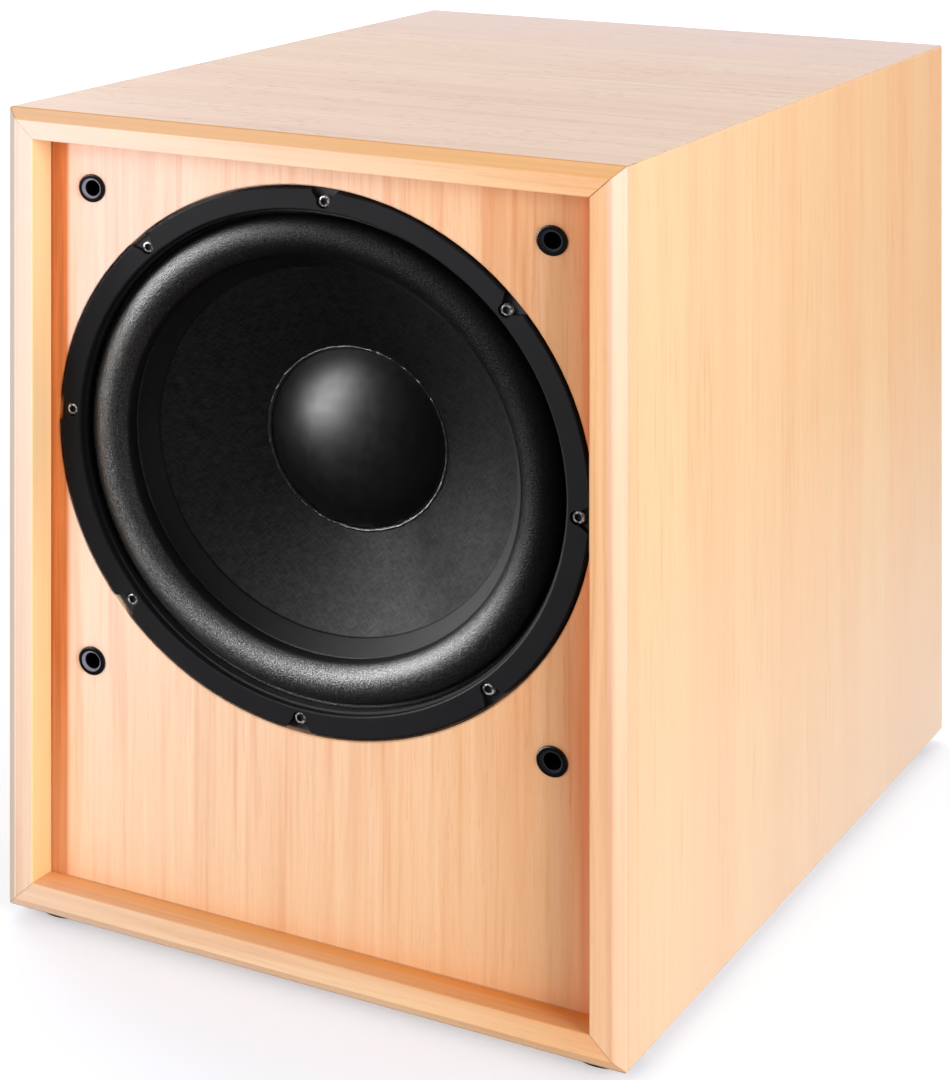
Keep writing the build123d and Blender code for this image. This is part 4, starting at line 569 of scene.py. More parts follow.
def screw_metal(name):
    """Blackened screws worn bright on the rim of the head, dark inside the hexagon."""
    b = Mat(name)
    x, y, z = b.xyz
    dz = b.f("SUBTRACT", z, ZD)
    ang = b.f("ARCTAN2", dz, x)
    k = b.f("ROUND", b.f("DIVIDE", b.f("SUBTRACT", ang, math.radians(-2.7)), math.radians(45.0)))
    a0 = b.f("ADD", b.f("MULTIPLY", k, math.radians(45.0)), math.radians(-2.7))
    ux = b.f("SUBTRACT", x, b.f("MULTIPLY", b.f("COSINE", a0), 0.1485))
    uz = b.f("SUBTRACT", dz, b.f("MULTIPLY", b.f("SINE", a0), 0.1485))
    d = b.f("SQRT", b.f("ADD", b.f("MULTIPLY", ux, ux), b.f("MULTIPLY", uz, uz)))
    rim = b.f("MULTIPLY", b.step(d, 0.00195, 0.0023), b.step(d, 0.0036, 0.0033))
    rim = b.f("MULTIPLY", rim, b.step(y, BAF + 0.006, BAF + 0.003))
    n = b.noise(b.co, 700.0, 3.0)
    col = b.mix(rim, (0.012, 0.012, 0.013), b.mix(b.step(n, 0.40, 0.60), (0.12, 0.12, 0.12), (0.80, 0.80, 0.82)))
    return b.surface(Base_Color=col, Metallic=b.mixf(rim, 0.3, 0.55), Roughness=b.mixf(rim, 0.5, 0.25),
                     Normal=b.bump(n, 0.06, 0.00004))


def socket_plastic(name):
    """Black push-in sockets; the paler ring in the mouth is a painted highlight, bright on the left-hand sockets and
    dim on the right-hand ones.
    """
    b = Mat(name)
    x, y, z = b.xyz
    ax = b.f("SUBTRACT", b.f("ABSOLUTE", x), 0.135)
    az = b.f("SUBTRACT", b.f("ABSOLUTE", b.f("SUBTRACT", z, ZD)), 0.1412)
    d = b.f("SQRT", b.f("ADD", b.f("MULTIPLY", ax, ax), b.f("MULTIPLY", az, az)))
    ring = b.f("MULTIPLY", b.step(d, 0.00465, 0.00485), b.step(d, 0.00606, 0.00588))
    ring = b.f("MULTIPLY", ring, b.step(y, BAF + 0.0010, BAF - 0.0004))
    n = b.noise(b.co, 900.0, 2.0)
    # painted highlight: the mouth ring is painted bright on the left-hand sockets and dim on the right
    painted_highlight = b.mix(b.step(x, -0.02, 0.02), (0.30, 0.28, 0.35), (0.030, 0.032, 0.040))
    col = b.mix(ring, b.mix(n, (0.003, 0.003, 0.0035), (0.006, 0.006, 0.0065)), painted_highlight)
    hole = b.f("MULTIPLY", b.step(d, 0.0049, 0.0047), b.step(y, BAF + 0.0002, BAF + 0.001))
    col = b.mix(hole, col, (0.002, 0.002, 0.002))
    r = b.mixf(ring, 0.22, 0.30)
    return b.surface(Base_Color=col, Roughness=r, Normal=b.bump(n, 0.05, 0.00005), Specular_IOR_Level=0.30)


def felt(name, c1, c2, scale=260.0):
    b = Mat(name)
    w = b.noise(b.co, scale, 5.0, 0.75, 1.2)
    w2 = b.noise(b.v("MULTIPLY", b.co, (1800, 260, 260)), 1.0, 3.0, 0.7)
    spk = b.voronoi(b.co, 420.0)
    col = b.mix(w, c1, c2)
    col = b.mix(b.f("MULTIPLY", b.step(spk, 0.18, 0.02), 0.6), col, tuple(min(1, c * 1.7) for c in c2))
    return b.surface(Base_Color=col, Roughness=0.95, Sheen_Weight=0.4, Sheen_Roughness=0.6,
                     Normal=b.bump(b.f("ADD", w, w2), 0.8, 0.0008))


def foam(name):
    b = Mat(name)
    v = b.voronoi(b.co, 1400.0)
    v2 = b.voronoi(b.co, 3100.0)
    n = b.noise(b.co, 60.0, 3.0)
    col = b.mix(b.step(v, 0.1, 0.6), (0.006, 0.006, 0.006), (0.03, 0.03, 0.032))
    col = b.mix(b.f("MULTIPLY", n, 0.3), col, (0.045, 0.045, 0.047))
    return b.surface(Base_Color=col, Roughness=0.9, Normal=b.bump(b.f("ADD", v, b.f("MULTIPLY", v2, 0.5)), 0.9, 0.0004))


def spider_cloth(name):
    b = Mat(name)
    x, y, z = b.xyz
    dz = b.f("SUBTRACT", z, ZD)
    w1 = b.f("SINE", b.f("MULTIPLY", x, 5200.0))
    w2 = b.f("SINE", b.f("MULTIPLY", dz, 5200.0))
    weave = b.f("MULTIPLY", b.f("ADD", w1, 1.0), b.f("ADD", w2, 1.0))
    n = b.noise(b.co, 90.0, 3.0)
    col = b.mix(b.step(weave, 0.2, 2.4), lin(120, 84, 36), lin(214, 170, 98))
    col = b.mix(b.f("MULTIPLY", n, 0.4), col, lin(168, 120, 58))
    return b.surface(Base_Color=col, Roughness=0.7, Normal=b.bump(weave, 0.5, 0.0002), Sheen_Weight=0.2)


def braid(name, c1, c2):
    b = Mat(name)
    x, y, z = b.xyz
    s = b.f("SINE", b.f("MULTIPLY", b.f("ADD", b.f("ADD", x, y), b.f("MULTIPLY", z, 1.7)), 6800.0))
    n = b.noise(b.co, 2500.0, 2.0)
    col = b.mix(b.step(s, -0.4, 0.8), c1, c2)
    return b.surface(Base_Color=col, Metallic=0.9, Roughness=b.step(n, 0.3, 0.7, a=0.28, b=0.45),
                     Normal=b.bump(s, 0.6, 0.0002))


def windings(name, color, cx, cz, along_axis="coil"):
    """Enamelled wire or tape laid in turns."""
    b = Mat(name)
    x, y, z = b.xyz
    n = b.noise(b.co, 500.0, 3.0)
    if along_axis == "coil":
        s = b.f("SINE", b.f("MULTIPLY", y, 9000.0))
    else:
        a = b.f("ARCTAN2", b.f("SUBTRACT", z, cz), b.f("SUBTRACT", x, cx))
        s = b.f("SINE", b.f("ADD", b.f("MULTIPLY", a, 72.0), b.f("MULTIPLY", n, 1.5)))
    col = b.mix(b.step(s, -0.8, 0.6), tuple(c * 0.55 for c in color), color)
    col = b.mix(b.f("MULTIPLY", n, 0.25), col, tuple(min(1, c * 1.3) for c in color))
    met = 0.9 if along_axis == "coil" else 0.0
    return b.surface(Base_Color=col, Metallic=met, Roughness=0.32, Normal=b.bump(s, 0.5, 0.0002), Coat_Weight=0.4)


def circuit_board(name):
    b = Mat(name)
    x, y, z = b.xyz
    p = b.vec(x, 0.0, z)
    v = b.node("ShaderNodeTexVoronoi", feature="F1", distance="CHEBYCHEV")
    b.put(v.inputs["Vector"], b.v("MULTIPLY", p, (120, 1, 120)))
    b.put(v.inputs["Scale"], 1.0)
    cells = v.outputs["Distance"]
    br = b.node("ShaderNodeTexBrick")
    b.put(br.inputs["Vector"], b.vec(b.f("MULTIPLY", x, 60.0), b.f("MULTIPLY", z, 60.0), 0.0))
    b.put(br.inputs["Scale"], 2.4)
    b.put(br.inputs["Mortar Size"], 0.06)
    traces = b.f("MULTIPLY", br.outputs["Fac"], b.step(b.noise(p, 70.0, 2.0), 0.42, 0.5))
    pads = b.step(b.voronoi(p, 190.0), 0.16, 0.12)
    n = b.noise(b.co, 35.0, 3.0)
    col = b.mix(n, lin(16, 70, 44), lin(24, 92, 56))
    col = b.mix(b.f("MULTIPLY", b.step(cells, 0.38, 0.44), 0.35), col, lin(36, 118, 70))
    col = b.mix(traces, col, lin(52, 140, 84))
    col = b.mix(pads, col, lin(206, 208, 204))
    return b.surface(Base_Color=col, Metallic=b.f("MULTIPLY", pads, 0.9), Roughness=0.35,
                     Normal=b.bump(b.f("ADD", traces, pads), 0.2, 0.0001), Coat_Weight=0.3)


def capacitor_skin(name):
    """Sleeved cans with a pale stripe and a bare aluminium end."""
    b = Mat(name)
    x, y, z = b.xyz
    end = b.step(y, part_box("reservoir_capacitors")[0].y + 0.0009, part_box("reservoir_capacitors")[0].y + 0.0006)
    fx = b.f("SUBTRACT", b.f("FRACT", b.f("DIVIDE", b.f("ADD", x, 0.0355), 0.026)), 0.5)
    stripe = b.step(b.f("ABSOLUTE", b.f("ADD", fx, 0.33)), 0.10, 0.07)
    n = b.noise(b.co, 260.0, 3.0)
    col = b.mix(n, (0.010, 0.011, 0.018), (0.018, 0.019, 0.03))
    col = b.mix(b.f("MULTIPLY", stripe, 0.8), col, lin(170, 172, 176))
    cross = b.f("MAXIMUM", b.step(b.f("ABSOLUTE", fx), 0.035, 0.02), 0.0)
    al = b.mix(cross, lin(206, 208, 210), lin(120, 122, 126))
    col = b.mix(end, col, al)
    return b.surface(Base_Color=col, Metallic=b.f("MULTIPLY", end, 0.95), Roughness=b.mixf(end, 0.3, 0.34),
                     Normal=b.bump(b.f("ADD", n, cross), 0.1, 0.0001), Coat_Weight=0.2)


def rca_plastic(name):
    """One red and one white insulator."""
    b = Mat(name)
    x, y, z = b.xyz
    mid = (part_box("rca_insulators")[0].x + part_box("rca_insulators")[1].x) / 2
    n = b.noise(b.co, 700.0, 2.0)
    red = b.mix(n, lin(168, 24, 22), lin(196, 34, 30))
    wht = b.mix(n, lin(222, 220, 212), lin(236, 234, 228))
    col = b.mix(b.step(x, mid - 0.0005, mid + 0.0005), red, wht)
    return b.surface(Base_Color=col, Roughness=0.32, Normal=b.bump(n, 0.06, 0.00005), Coat_Weight=0.2)


def lens(name):
    b = Mat(name)
    n = b.noise(b.co, 420.0, 2.0)
    col = b.mix(n, lin(190, 20, 16), lin(232, 44, 34))
    return b.surface(Base_Color=col, Roughness=0.12, Transmission_Weight=0.35, IOR=1.5, Coat_Weight=0.5,
                     Emission_Color=lin(255, 60, 40), Emission_Strength=0.12)


def heatsink_skin(name):
    b = Mat(name)
    x, y, z = b.xyz
    n = b.noise(b.v("MULTIPLY", b.co, (900, 900, 30)), 1.0, 3.0, 0.6)
    w = b.noise(b.co, 26.0, 3.0)
    col = b.mix(w, (0.010, 0.010, 0.011), (0.021, 0.021, 0.023))
    nrm = b.bevel(0.00035, 4)
    return b.surface(Base_Color=col, Metallic=0.55, Roughness=b.step(w, 0.3, 0.7, a=0.34, b=0.46),
                     Normal=b.bump(n, 0.22, 0.00008, nrm))


def paint(name, color, rough=0.45):
    b = Mat(name)
    n = b.noise(b.co, 900.0, 3.0)
    col = b.mix(n, tuple(c * 0.86 for c in color), color)
    return b.surface(Base_Color=col, Roughness=b.step(n, 0.3, 0.7, a=rough - 0.06, b=rough + 0.06), Normal=b.bump(n, 0.08, 0.00004))


M = {
    "wood_top": cabinet_wood("wood_top", 2, 1, 1.0),
    "wood_bottom": cabinet_wood("wood_bottom", 2, -1, 7.0),
    "wood_left": cabinet_wood("wood_left", 0, -1, 3.0),
    "wood_right": cabinet_wood("wood_right", 0, 1, 11.0),
    "wood_baffle": baffle_wood("wood_baffle", 4.0),
    "wood_rear": rear_wood("wood_rear", 21.0),
    "board": raw_board("board"),
    "ring": rubber("ring_rubber", 0.0046, 0.52, 700.0, 0.22, 0.00012, 0.16, (0.94, 0.94, 1.22), spec=0.13),
    "surround": surround_rubber("surround_rubber"),
    "foot": rubber("foot_rubber", 0.012, 0.6, 600.0, 0.3),
    "cone": cone_paper("cone_paper"),
    "cap": cap_paper("cap_paper"),
    "adhesive": rubber("adhesive", 0.012, 0.20, 620.0, 0.90, 0.0007, 0.16, coat=0.5),
    "cast": plastic("cast_frame", (0.006, 0.006, 0.0066), 0.55, 900.0, 0.3),
    "steel": metal("motor_steel", lin(190, 186, 170), 0.34, brushed=(40, 600, 600)),
    "ferrite": plastic("ferrite", (0.030, 0.030, 0.031), 0.7, 500.0, 0.5),
    "former": metal("coil_former", lin(196, 186, 150), 0.4, metallic=0.5),
    "copper": windings("coil_copper", lin(198, 96, 48), 0.0, ZD),
    "spider": spider_cloth("spider_cloth"),
    "screw_black": screw_metal("screw_black"),
    "screw_plain": metal("screw_plain", (0.10, 0.10, 0.105), 0.24, dirt=0.3, spread=0.1),
    "zinc": metal("zinc_steel", lin(206, 204, 196), 0.32),
    "socket": socket_plastic("socket_plastic"),
    "plate": powder_coat("plate_black", (0.013, 0.013, 0.014)),
    "sink": heatsink_skin("sink_black"),
    "knob": plastic("knob_plastic", (0.014, 0.014, 0.015), 0.42, 1100.0, 0.2),
    "shaft": metal("shaft_metal", lin(208, 206, 200), 0.28, brushed=(900, 60, 900)),
    "pot": metal("pot_metal", lin(186, 184, 176), 0.36),
    "switch": plastic("switch_plastic", (0.016, 0.016, 0.017), 0.38),
    "nickel": metal("nickel", lin(216, 210, 196), 0.22, dirt=0.15),
    "rca": rca_plastic("rca_plastic"),
    "led": lens("led_lens"),
    "pcb": circuit_board("circuit_board"),
    "can": capacitor_skin("can_skin"),
    "toroid": windings("toroid_wrap", lin(206, 176, 62), 0.050, PLATE_Z - 0.060, "tape"),
    "cable": plastic("cable_jacket", (0.020, 0.019, 0.019), 0.4, 1500.0, 0.2),
    "cable_red": plastic("cable_jacket_red", lin(150, 22, 18), 0.4, 1500.0, 0.2),
    "felt": felt("felt_wadding", lin(112, 110, 104), lin(172, 168, 158)),
    "foam": foam("foam_strip"),
    "tinsel": braid("tinsel_braid", lin(150, 84, 44), lin(222, 158, 98)),
    "ink": paint("white_ink", lin(226, 226, 220)),
}

NODE_MAT = {
    "panel_top": "wood_top", "frame_top": "wood_top", "panel_bottom": "wood_bottom", "frame_bottom": "wood_bottom",
    "panel_left": "wood_left", "frame_left": "wood_left", "panel_right": "wood_right", "frame_right": "wood_right",
    "front_baffle": "wood_baffle", "rear_panel": "wood_rear", "glue_cleats": "board", "window_brace": "board",
    "grille_sockets": "socket", "rubber_feet": "foot", "foot_screws": "zinc",
    "driver_trim_ring": "ring", "driver_basket": "cast", "driver_screws": "screw_black", "tee_nuts": "zinc",
    "cone": "cone", "dust_cap": "cap", "voice_coil_former": "former", "voice_coil_winding": "copper",
    "motor_top_plate": "steel", "motor_magnet": "ferrite", "motor_yoke": "steel", "driver_terminals": "nickel",
    "amp_plate": "plate", "amp_screws": "screw_plain", "heatsink": "sink", "pot_bodies": "pot",
    "level_shaft": "shaft", "crossover_shaft": "shaft", "level_knob": "knob", "crossover_knob": "knob",
    "switch_bodies": "pot", "small_screws": "screw_plain", "phase_slider": "switch", "mode_slider": "switch",
    "rca_shells": "nickel", "rca_insulators": "rca", "status_led": "led", "rocker_housing": "switch",
    "mains_rocker": "switch", "iec_inlet": "switch", "iec_pins": "nickel", "fuse_drawer": "knob",
    "amp_circuit_board": "pcb", "reservoir_capacitors": "can", "toroid_transformer": "toroid",
    "transformer_clamp": "zinc",
}
for name, key in NODE_MAT.items():
    o = nodes[name]
    if not o.material_slots:
        o.data.materials.append(M[key])
    for s in o.material_slots:
        s.material = M[key]


# ------------------------------------------------------------------ mesh helpers
def new_object(name, verts, faces, mat, smooth=math.radians(38)):
    me = bpy.data.meshes.new(name)
    me.from_pydata([tuple(v) for v in verts], [], faces)
    me.update()
    me.validate()
    me.polygons.foreach_set("use_smooth", [True] * len(me.polygons))
    me.set_sharp_from_angle(angle=smooth)
    me.materials.append(mat)
    o = bpy.data.objects.new(name, me)
    scene.collection.objects.link(o)
    return o


def lathe(name, profile, seg, mat, wobble=None, smooth=math.radians(38)):
    """Revolves a closed (radius, depth) profile in millimetres round the driver axis."""
    n = len(profile)
    verts, faces = [], []
    for i in range(seg):
        a = 2 * math.pi * i / seg
        for j, (r, s) in enumerate(profile):
            if wobble:
                r, s = wobble(a, j, r, s)
            verts.append((r * MM * math.cos(a), BAF + s * MM, ZD + r * MM * math.sin(a)))
    for i in range(seg):
        k = (i + 1) % seg
        for j in range(n):
            m = (j + 1) % n
            faces.append((i * n + j, i * n + m, k * n + m, k * n + j))
    o = new_object(name, verts, faces, mat, smooth)
    recalc(o)
    return o


def recalc(o):
    import bmesh
    bm = bmesh.new()
    bm.from_mesh(o.data)
    bmesh.ops.recalc_face_normals(bm, faces=bm.faces)
    bm.to_mesh(o.data)
    bm.free()


def arc3(p1, p2, p3, n):
    """n+1 points on the circle through three points, from p1 over p2 to p3."""
    (ax, ay), (bx, by), (cx, cy) = p1, p2, p3
    d = 2 * (ax * (by - cy) + bx * (cy - ay) + cx * (ay - by))
    ux = ((ax**2 + ay**2) * (by - cy) + (bx**2 + by**2) * (cy - ay) + (cx**2 + cy**2) * (ay - by)) / d
    uy = ((ax**2 + ay**2) * (cx - bx) + (bx**2 + by**2) * (ax - cx) + (cx**2 + cy**2) * (bx - ax)) / d
    r = math.hypot(ax - ux, ay - uy)
    t1, t2, t3 = (math.atan2(p[1] - uy, p[0] - ux) for p in (p1, p2, p3))

    def norm(t):
        while t < 0:
            t += 2 * math.pi
        return t % (2 * math.pi)
    d2, d3 = norm(t2 - t1), norm(t3 - t1)
    if d2 > d3:
        d3 -= 2 * math.pi
    return [(ux + r * math.cos(t1 + d3 * i / n), uy + r * math.sin(t1 + d3 * i / n)) for i in range(n + 1)]


def seg2(p, q, n):
    return [(p[0] + (q[0] - p[0]) * i / n, p[1] + (q[1] - p[1]) * i / n) for i in range(n + 1)]


def chain(*runs):
    out = []
    for run in runs:
        for p in run:
            if not out or math.dist(out[-1], p) > 1e-4:
                out.append(p)
    if math.dist(out[0], out[-1]) < 1e-4:
        out.pop()
    return out


def weights(o, fn):
    me = o.data
    co = np.zeros(len(me.vertices) * 3)
    me.vertices.foreach_get("co", co)
    w = fn(co.reshape(-1, 3))
    me.attributes["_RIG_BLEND"].data.foreach_set("value", np.clip(w, 0, 1).astype(np.float32))


def tube(path, radius, sides, name, mat, cap=True, squash=None):
    """A round tube along a list of points."""
    pts = [Vector(p) for p in path]
    verts, faces = [], []
    up = Vector((0, 0, 1))
    prev = None
    for i, p in enumerate(pts):
        t = (pts[min(i + 1, len(pts) - 1)] - pts[max(i - 1, 0)]).normalized()
        if prev is None:
            n1 = t.cross(up)
            if n1.length < 1e-3:
                n1 = t.cross(Vector((1, 0, 0)))
            n1.normalize()
        else:
            n1 = (prev - t * prev.dot(t)).normalized()
        prev = n1
        n2 = t.cross(n1)
        r = radius(i) if callable(radius) else radius
        for k in range(sides):
            a = 2 * math.pi * k / sides
            verts.append(p + n1 * (r * math.cos(a)) + n2 * (r * math.sin(a)))
    m = len(pts)
    for i in range(m - 1):
        for k in range(sides):
            l = (k + 1) % sides
            faces.append((i * sides + k, i * sides + l, (i + 1) * sides + l, (i + 1) * sides + k))
    if cap:
        faces.append(tuple(range(sides))[::-1])
        faces.append(tuple((m - 1) * sides + k for k in range(sides)))
    return verts, faces


def spline(points, n):
    """Smooth curve through points (centripetal-like cubic with chord-length knots)."""
    P = np.array(points, float)
    m = len(P)
    t = np.concatenate([[0], np.cumsum(np.linalg.norm(np.diff(P, axis=0), axis=1))])
    h = np.diff(t)
    A = np.zeros((m, m))
    B = np.zeros((m, 3))
    A[0, 0] = A[-1, -1] = 1
    for i in range(1, m - 1):
        A[i, i - 1], A[i, i], A[i, i + 1] = h[i - 1], 2 * (h[i - 1] + h[i]), h[i]
        B[i] = 6 * ((P[i + 1] - P[i]) / h[i] - (P[i] - P[i - 1]) / h[i - 1])
    K = np.linalg.solve(A, B)
    out = []
    for u in np.linspace(0, t[-1], n):
        i = min(max(np.searchsorted(t, u) - 1, 0), m - 2)
        a, b = t[i + 1] - u, u - t[i]
        out.append(K[i] * a**3 / (6 * h[i]) + K[i + 1] * b**3 / (6 * h[i])
                   + (P[i] / h[i] - K[i] * h[i] / 6) * a + (P[i + 1] / h[i] - K[i + 1] * h[i] / 6) * b)
    return out


MOTOR = 13.5                                 # setback of spider, coil and motor, mm

# ------------------------------------------------------------------ surround
roll_out, roll_top, roll_in = (138.8, 11.4), (127.6, 0.6), (116.2, 19.8)
front_arc = arc3(roll_out, roll_top, roll_in, 56)
back_arc = arc3((117.3, 20.5), (127.6, 1.7), (137.8, 12.45), 40)
prof = chain(
    seg2((140.9, 11.55), (140.6, 11.4), 1), seg2((140.6, 11.4), (139.4, 11.4), 2), [(139.1, 11.33)],
    front_arc[1:-1], [(116.0, 19.97), (115.7, 20.25)],
    seg2((115.3, 20.6), (106.7, 28.45), 10),
    [(106.3, 28.85), (106.0, 29.2), (105.9, 29.6)], [(105.9, 30.4)],
    seg2((105.9, 30.4), (117.3, 20.5), 8), back_arc, [(140.9, 12.45)],
)
surround = lathe("surround_roll", prof, 300, M["surround"])
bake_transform(surround, "cabinet", "cone_assembly", start=(0.1388, BAF, ZD), end=(0.1162, BAF, ZD))


def surround_w(co):
    r = np.hypot(co[:, 0], co[:, 2] - ZD)
    t = np.clip((0.1386 - r) / (0.1386 - 0.1166), 0, 1)
    return t * t * (3 - 2 * t)


weights(surround, surround_w)
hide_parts("surround")

# ------------------------------------------------------------------ spider
pitch = 7.0
sp_front, sp_back = [], []
for i in range(0, 23 * 8 - 7):
    k = i / 8.0
    r = 35.0 + pitch * k / 4.0
    s = 77.6 + MOTOR - 1.7 * math.sin(math.pi * k / 2.0)
    sp_front.append((r, s))
    sp_back.append((r, s + 0.75))
end = sp_front[-1]
prof = chain([(32.1, 77.0 + MOTOR)], sp_front, [(74.7, 78.9 + MOTOR)],
             seg2((74.7, 78.9 + MOTOR), (85.6, 78.9 + MOTOR), 4), [(85.6, 79.8 + MOTOR)],
             [(74.2, 79.8 + MOTOR)], list(reversed(sp_back)), [(32.1, 79.0 + MOTOR)])
spider = lathe("spider_disc", prof, 160, M["spider"])
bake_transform(spider, "cabinet", "cone_assembly", start=(0.074, BAF, ZD), end=(0.034, BAF, ZD))


def spider_w(co):
    r = np.hypot(co[:, 0], co[:, 2] - ZD)
    t = np.clip((0.0745 - r) / (0.0745 - 0.0345), 0, 1)
    return t * t * (3 - 2 * t)


weights(spider, spider_w)
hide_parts("spider")

# ------------------------------------------------------------------ tinsel leads: two braids of three strands
verts, faces, tpar = [], [], []
for sz in (-1, 1):
    zc = ZD + sz * 0.007
    line = spline([(-0.0605, BAF + 0.0662, zc), (-0.073, BAF + 0.0745, zc), (-0.086, BAF + 0.0730, zc),
                   (-0.0954, BAF + 0.0724 + MOTOR * MM, zc)], 150)
    for strand in range(3):
        path = []
        for i, p in enumerate(line):
            q = Vector(p)
            t = (Vector(line[min(i + 1, 149)]) - Vector(line[max(i - 1, 0)])).normalized()
            n1 = t.cross(Vector((0, 0, 1))).normalized()
            n2 = t.cross(n1)
            a = i * 0.42 + strand * 2 * math.pi / 3
            path.append(q + (n1 * math.cos(a) + n2 * math.sin(a)) * 0.00038)
        v, f = tube(path, 0.00040, 8, "", None)
        off = len(verts)
        verts += v
        tpar += [i / 149.0 for i in range(150) for _ in range(8)]
        faces += [tuple(k + off for k in ff) for ff in f]
tinsel = new_object("tinsel_braids", verts, faces, M["tinsel"])
recalc(tinsel)
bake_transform(tinsel, "cabinet", "cone_assembly", start=(-0.0954, BAF + 0.07, ZD), end=(-0.0605, BAF + 0.0662, ZD))
tp = np.array(tpar)
weights(tinsel, lambda co: 1 - (tp * tp * (3 - 2 * tp)))
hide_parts("tinsel_leads")

# ------------------------------------------------------------------ glue bead round the dust cap
CONE_OUT, CONE_MID, CONE_IN = (105.7, 31.2), (69.5, 55.6), (31.95, 69.9 + MOTOR)


def cone_s(r):
    (ax, ay), (bx, by), (cx, cy) = CONE_OUT, CONE_MID, CONE_IN
    d = 2 * (ax * (by - cy) + bx * (cy - ay) + cx * (ay - by))
    ux = ((ax**2 + ay**2) * (by - cy) + (bx**2 + by**2) * (cy - ay) + (cx**2 + cy**2) * (ay - by)) / d
    uy = ((ax**2 + ay**2) * (cx - bx) + (bx**2 + by**2) * (ax - cx) + (cx**2 + cy**2) * (bx - ax)) / d
    rad = math.hypot(ax - ux, ay - uy)
    h = math.sqrt(rad**2 - (r - ux) ** 2)
    return uy - h if by < uy else uy + h


def bead_wobble(a, j, r, s):
    q = (math.cos(a) * 9.0, math.sin(a) * 9.0, 0.0)
    n = noise.noise((q[0], q[1], 3.1))
    m = noise.noise((q[0] * 5.0, q[1] * 5.0, 9.7))
    lump = 1.0 + 0.28 * n + 0.16 * m
    base = cone_s(52.15)
    if j in (0,):
        return r, s
    return 52.1 + (r - 52.1) * lump, cone_s(52.1 + (r - 52.1) * lump) - (cone_s(r) - s) * lump


bead = []
for k in range(13):
    t = k / 12.0
    r = 52.1 + 2.1 * t
    bead.append((r, cone_s(r) - 0.05 - 1.35 * math.sin(math.pi * (0.30 + 0.70 * t)) ** 0.8 * (1.0 if t < 1 else 0.0)))
bead = bead + [(54.2, cone_s(54.2) - 0.02), (53.2, cone_s(53.2) - 0.02), (52.1, cone_s(52.1) - 0.02)]
adh = lathe("dust_cap_glue", bead, 260, M["adhesive"], bead_wobble)
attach(adh, "cone_assembly")
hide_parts("dust_cap_adhesive")


# ------------------------------------------------------------------ wadding pads
def pad(name, lo, hi, seed):
    """A soft needled pad: rounded edges, quilted lumps, flat against its wall."""
    lo, hi = Vector(lo), Vector(hi)
    ny, nz = max(8, int((hi.y - lo.y) / 0.005)), max(8, int((hi.z - lo.z) / 0.005))
    wall_low = abs(lo.x) > abs(hi.x)
    xw, xs = (lo.x, hi.x) if wall_low else (hi.x, lo.x)
    verts, faces = [], []
    for side in (0, 1):
        for i in range(ny + 1):
            for j in range(nz + 1):
                u, v = i / ny, j / nz
                y, z = lo.y + (hi.y - lo.y) * u, lo.z + (hi.z - lo.z) * v
                e = min(u * (hi.y - lo.y), (1 - u) * (hi.y - lo.y), v * (hi.z - lo.z), (1 - v) * (hi.z - lo.z))
                edge = min(1.0, e / 0.012)
                full = math.sqrt(max(0.0, 1 - (1 - edge) ** 2))
                lump = 0.5 + 0.5 * noise.noise((y * 34 + seed, z * 34, seed))
                fine = noise.noise((y * 160 + seed, z * 160, seed * 2))
                th = (xs - xw) * (0.45 + 0.37 * full + 0.10 * lump + 0.05 * fine)
                w = 0.0014 * (1 - full)
                yy = y + (w if u < 0.5 else -w)
                zz = z + (w if v < 0.5 else -w)
                verts.append((xw + (th if side else 0.0003 * (1 if xs > xw else -1)), yy, zz))
    m = (ny + 1) * (nz + 1)
    idx = lambda s, i, j: s * m + i * (nz + 1) + j
    for i in range(ny):
        for j in range(nz):
            faces.append((idx(0, i, j), idx(0, i, j + 1), idx(0, i + 1, j + 1), idx(0, i + 1, j)))
            faces.append((idx(1, i, j), idx(1, i + 1, j), idx(1, i + 1, j + 1), idx(1, i, j + 1)))
    for i in range(ny):
        for j in (0, nz):
            faces.append((idx(0, i, j), idx(0, i + 1, j), idx(1, i + 1, j), idx(1, i, j)))
    for j in range(nz):
        for i in (0, ny):
            faces.append((idx(0, i, j), idx(1, i, j), idx(1, i, j + 1), idx(0, i, j + 1)))
    o = new_object(name, verts, faces, M["felt"], math.radians(60))
    recalc(o)
    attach(o, "cabinet")
    return o


flo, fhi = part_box("felt_lining")
for sx, tag in ((-1, "left"), (1, "right")):
    for k, (a, c) in enumerate(((0.160, 0.360), (0.405, 0.640))):
        x0, x1 = sorted((sx * (XIN - 0.0003), sx * (XIN - 0.0123)))
        pad(f"wadding_{tag}_{k + 1}", (x0, FRONT + a, flo.z), (x1, FRONT + c, fhi.z), 3.0 + k + sx)
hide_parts("felt_lining")


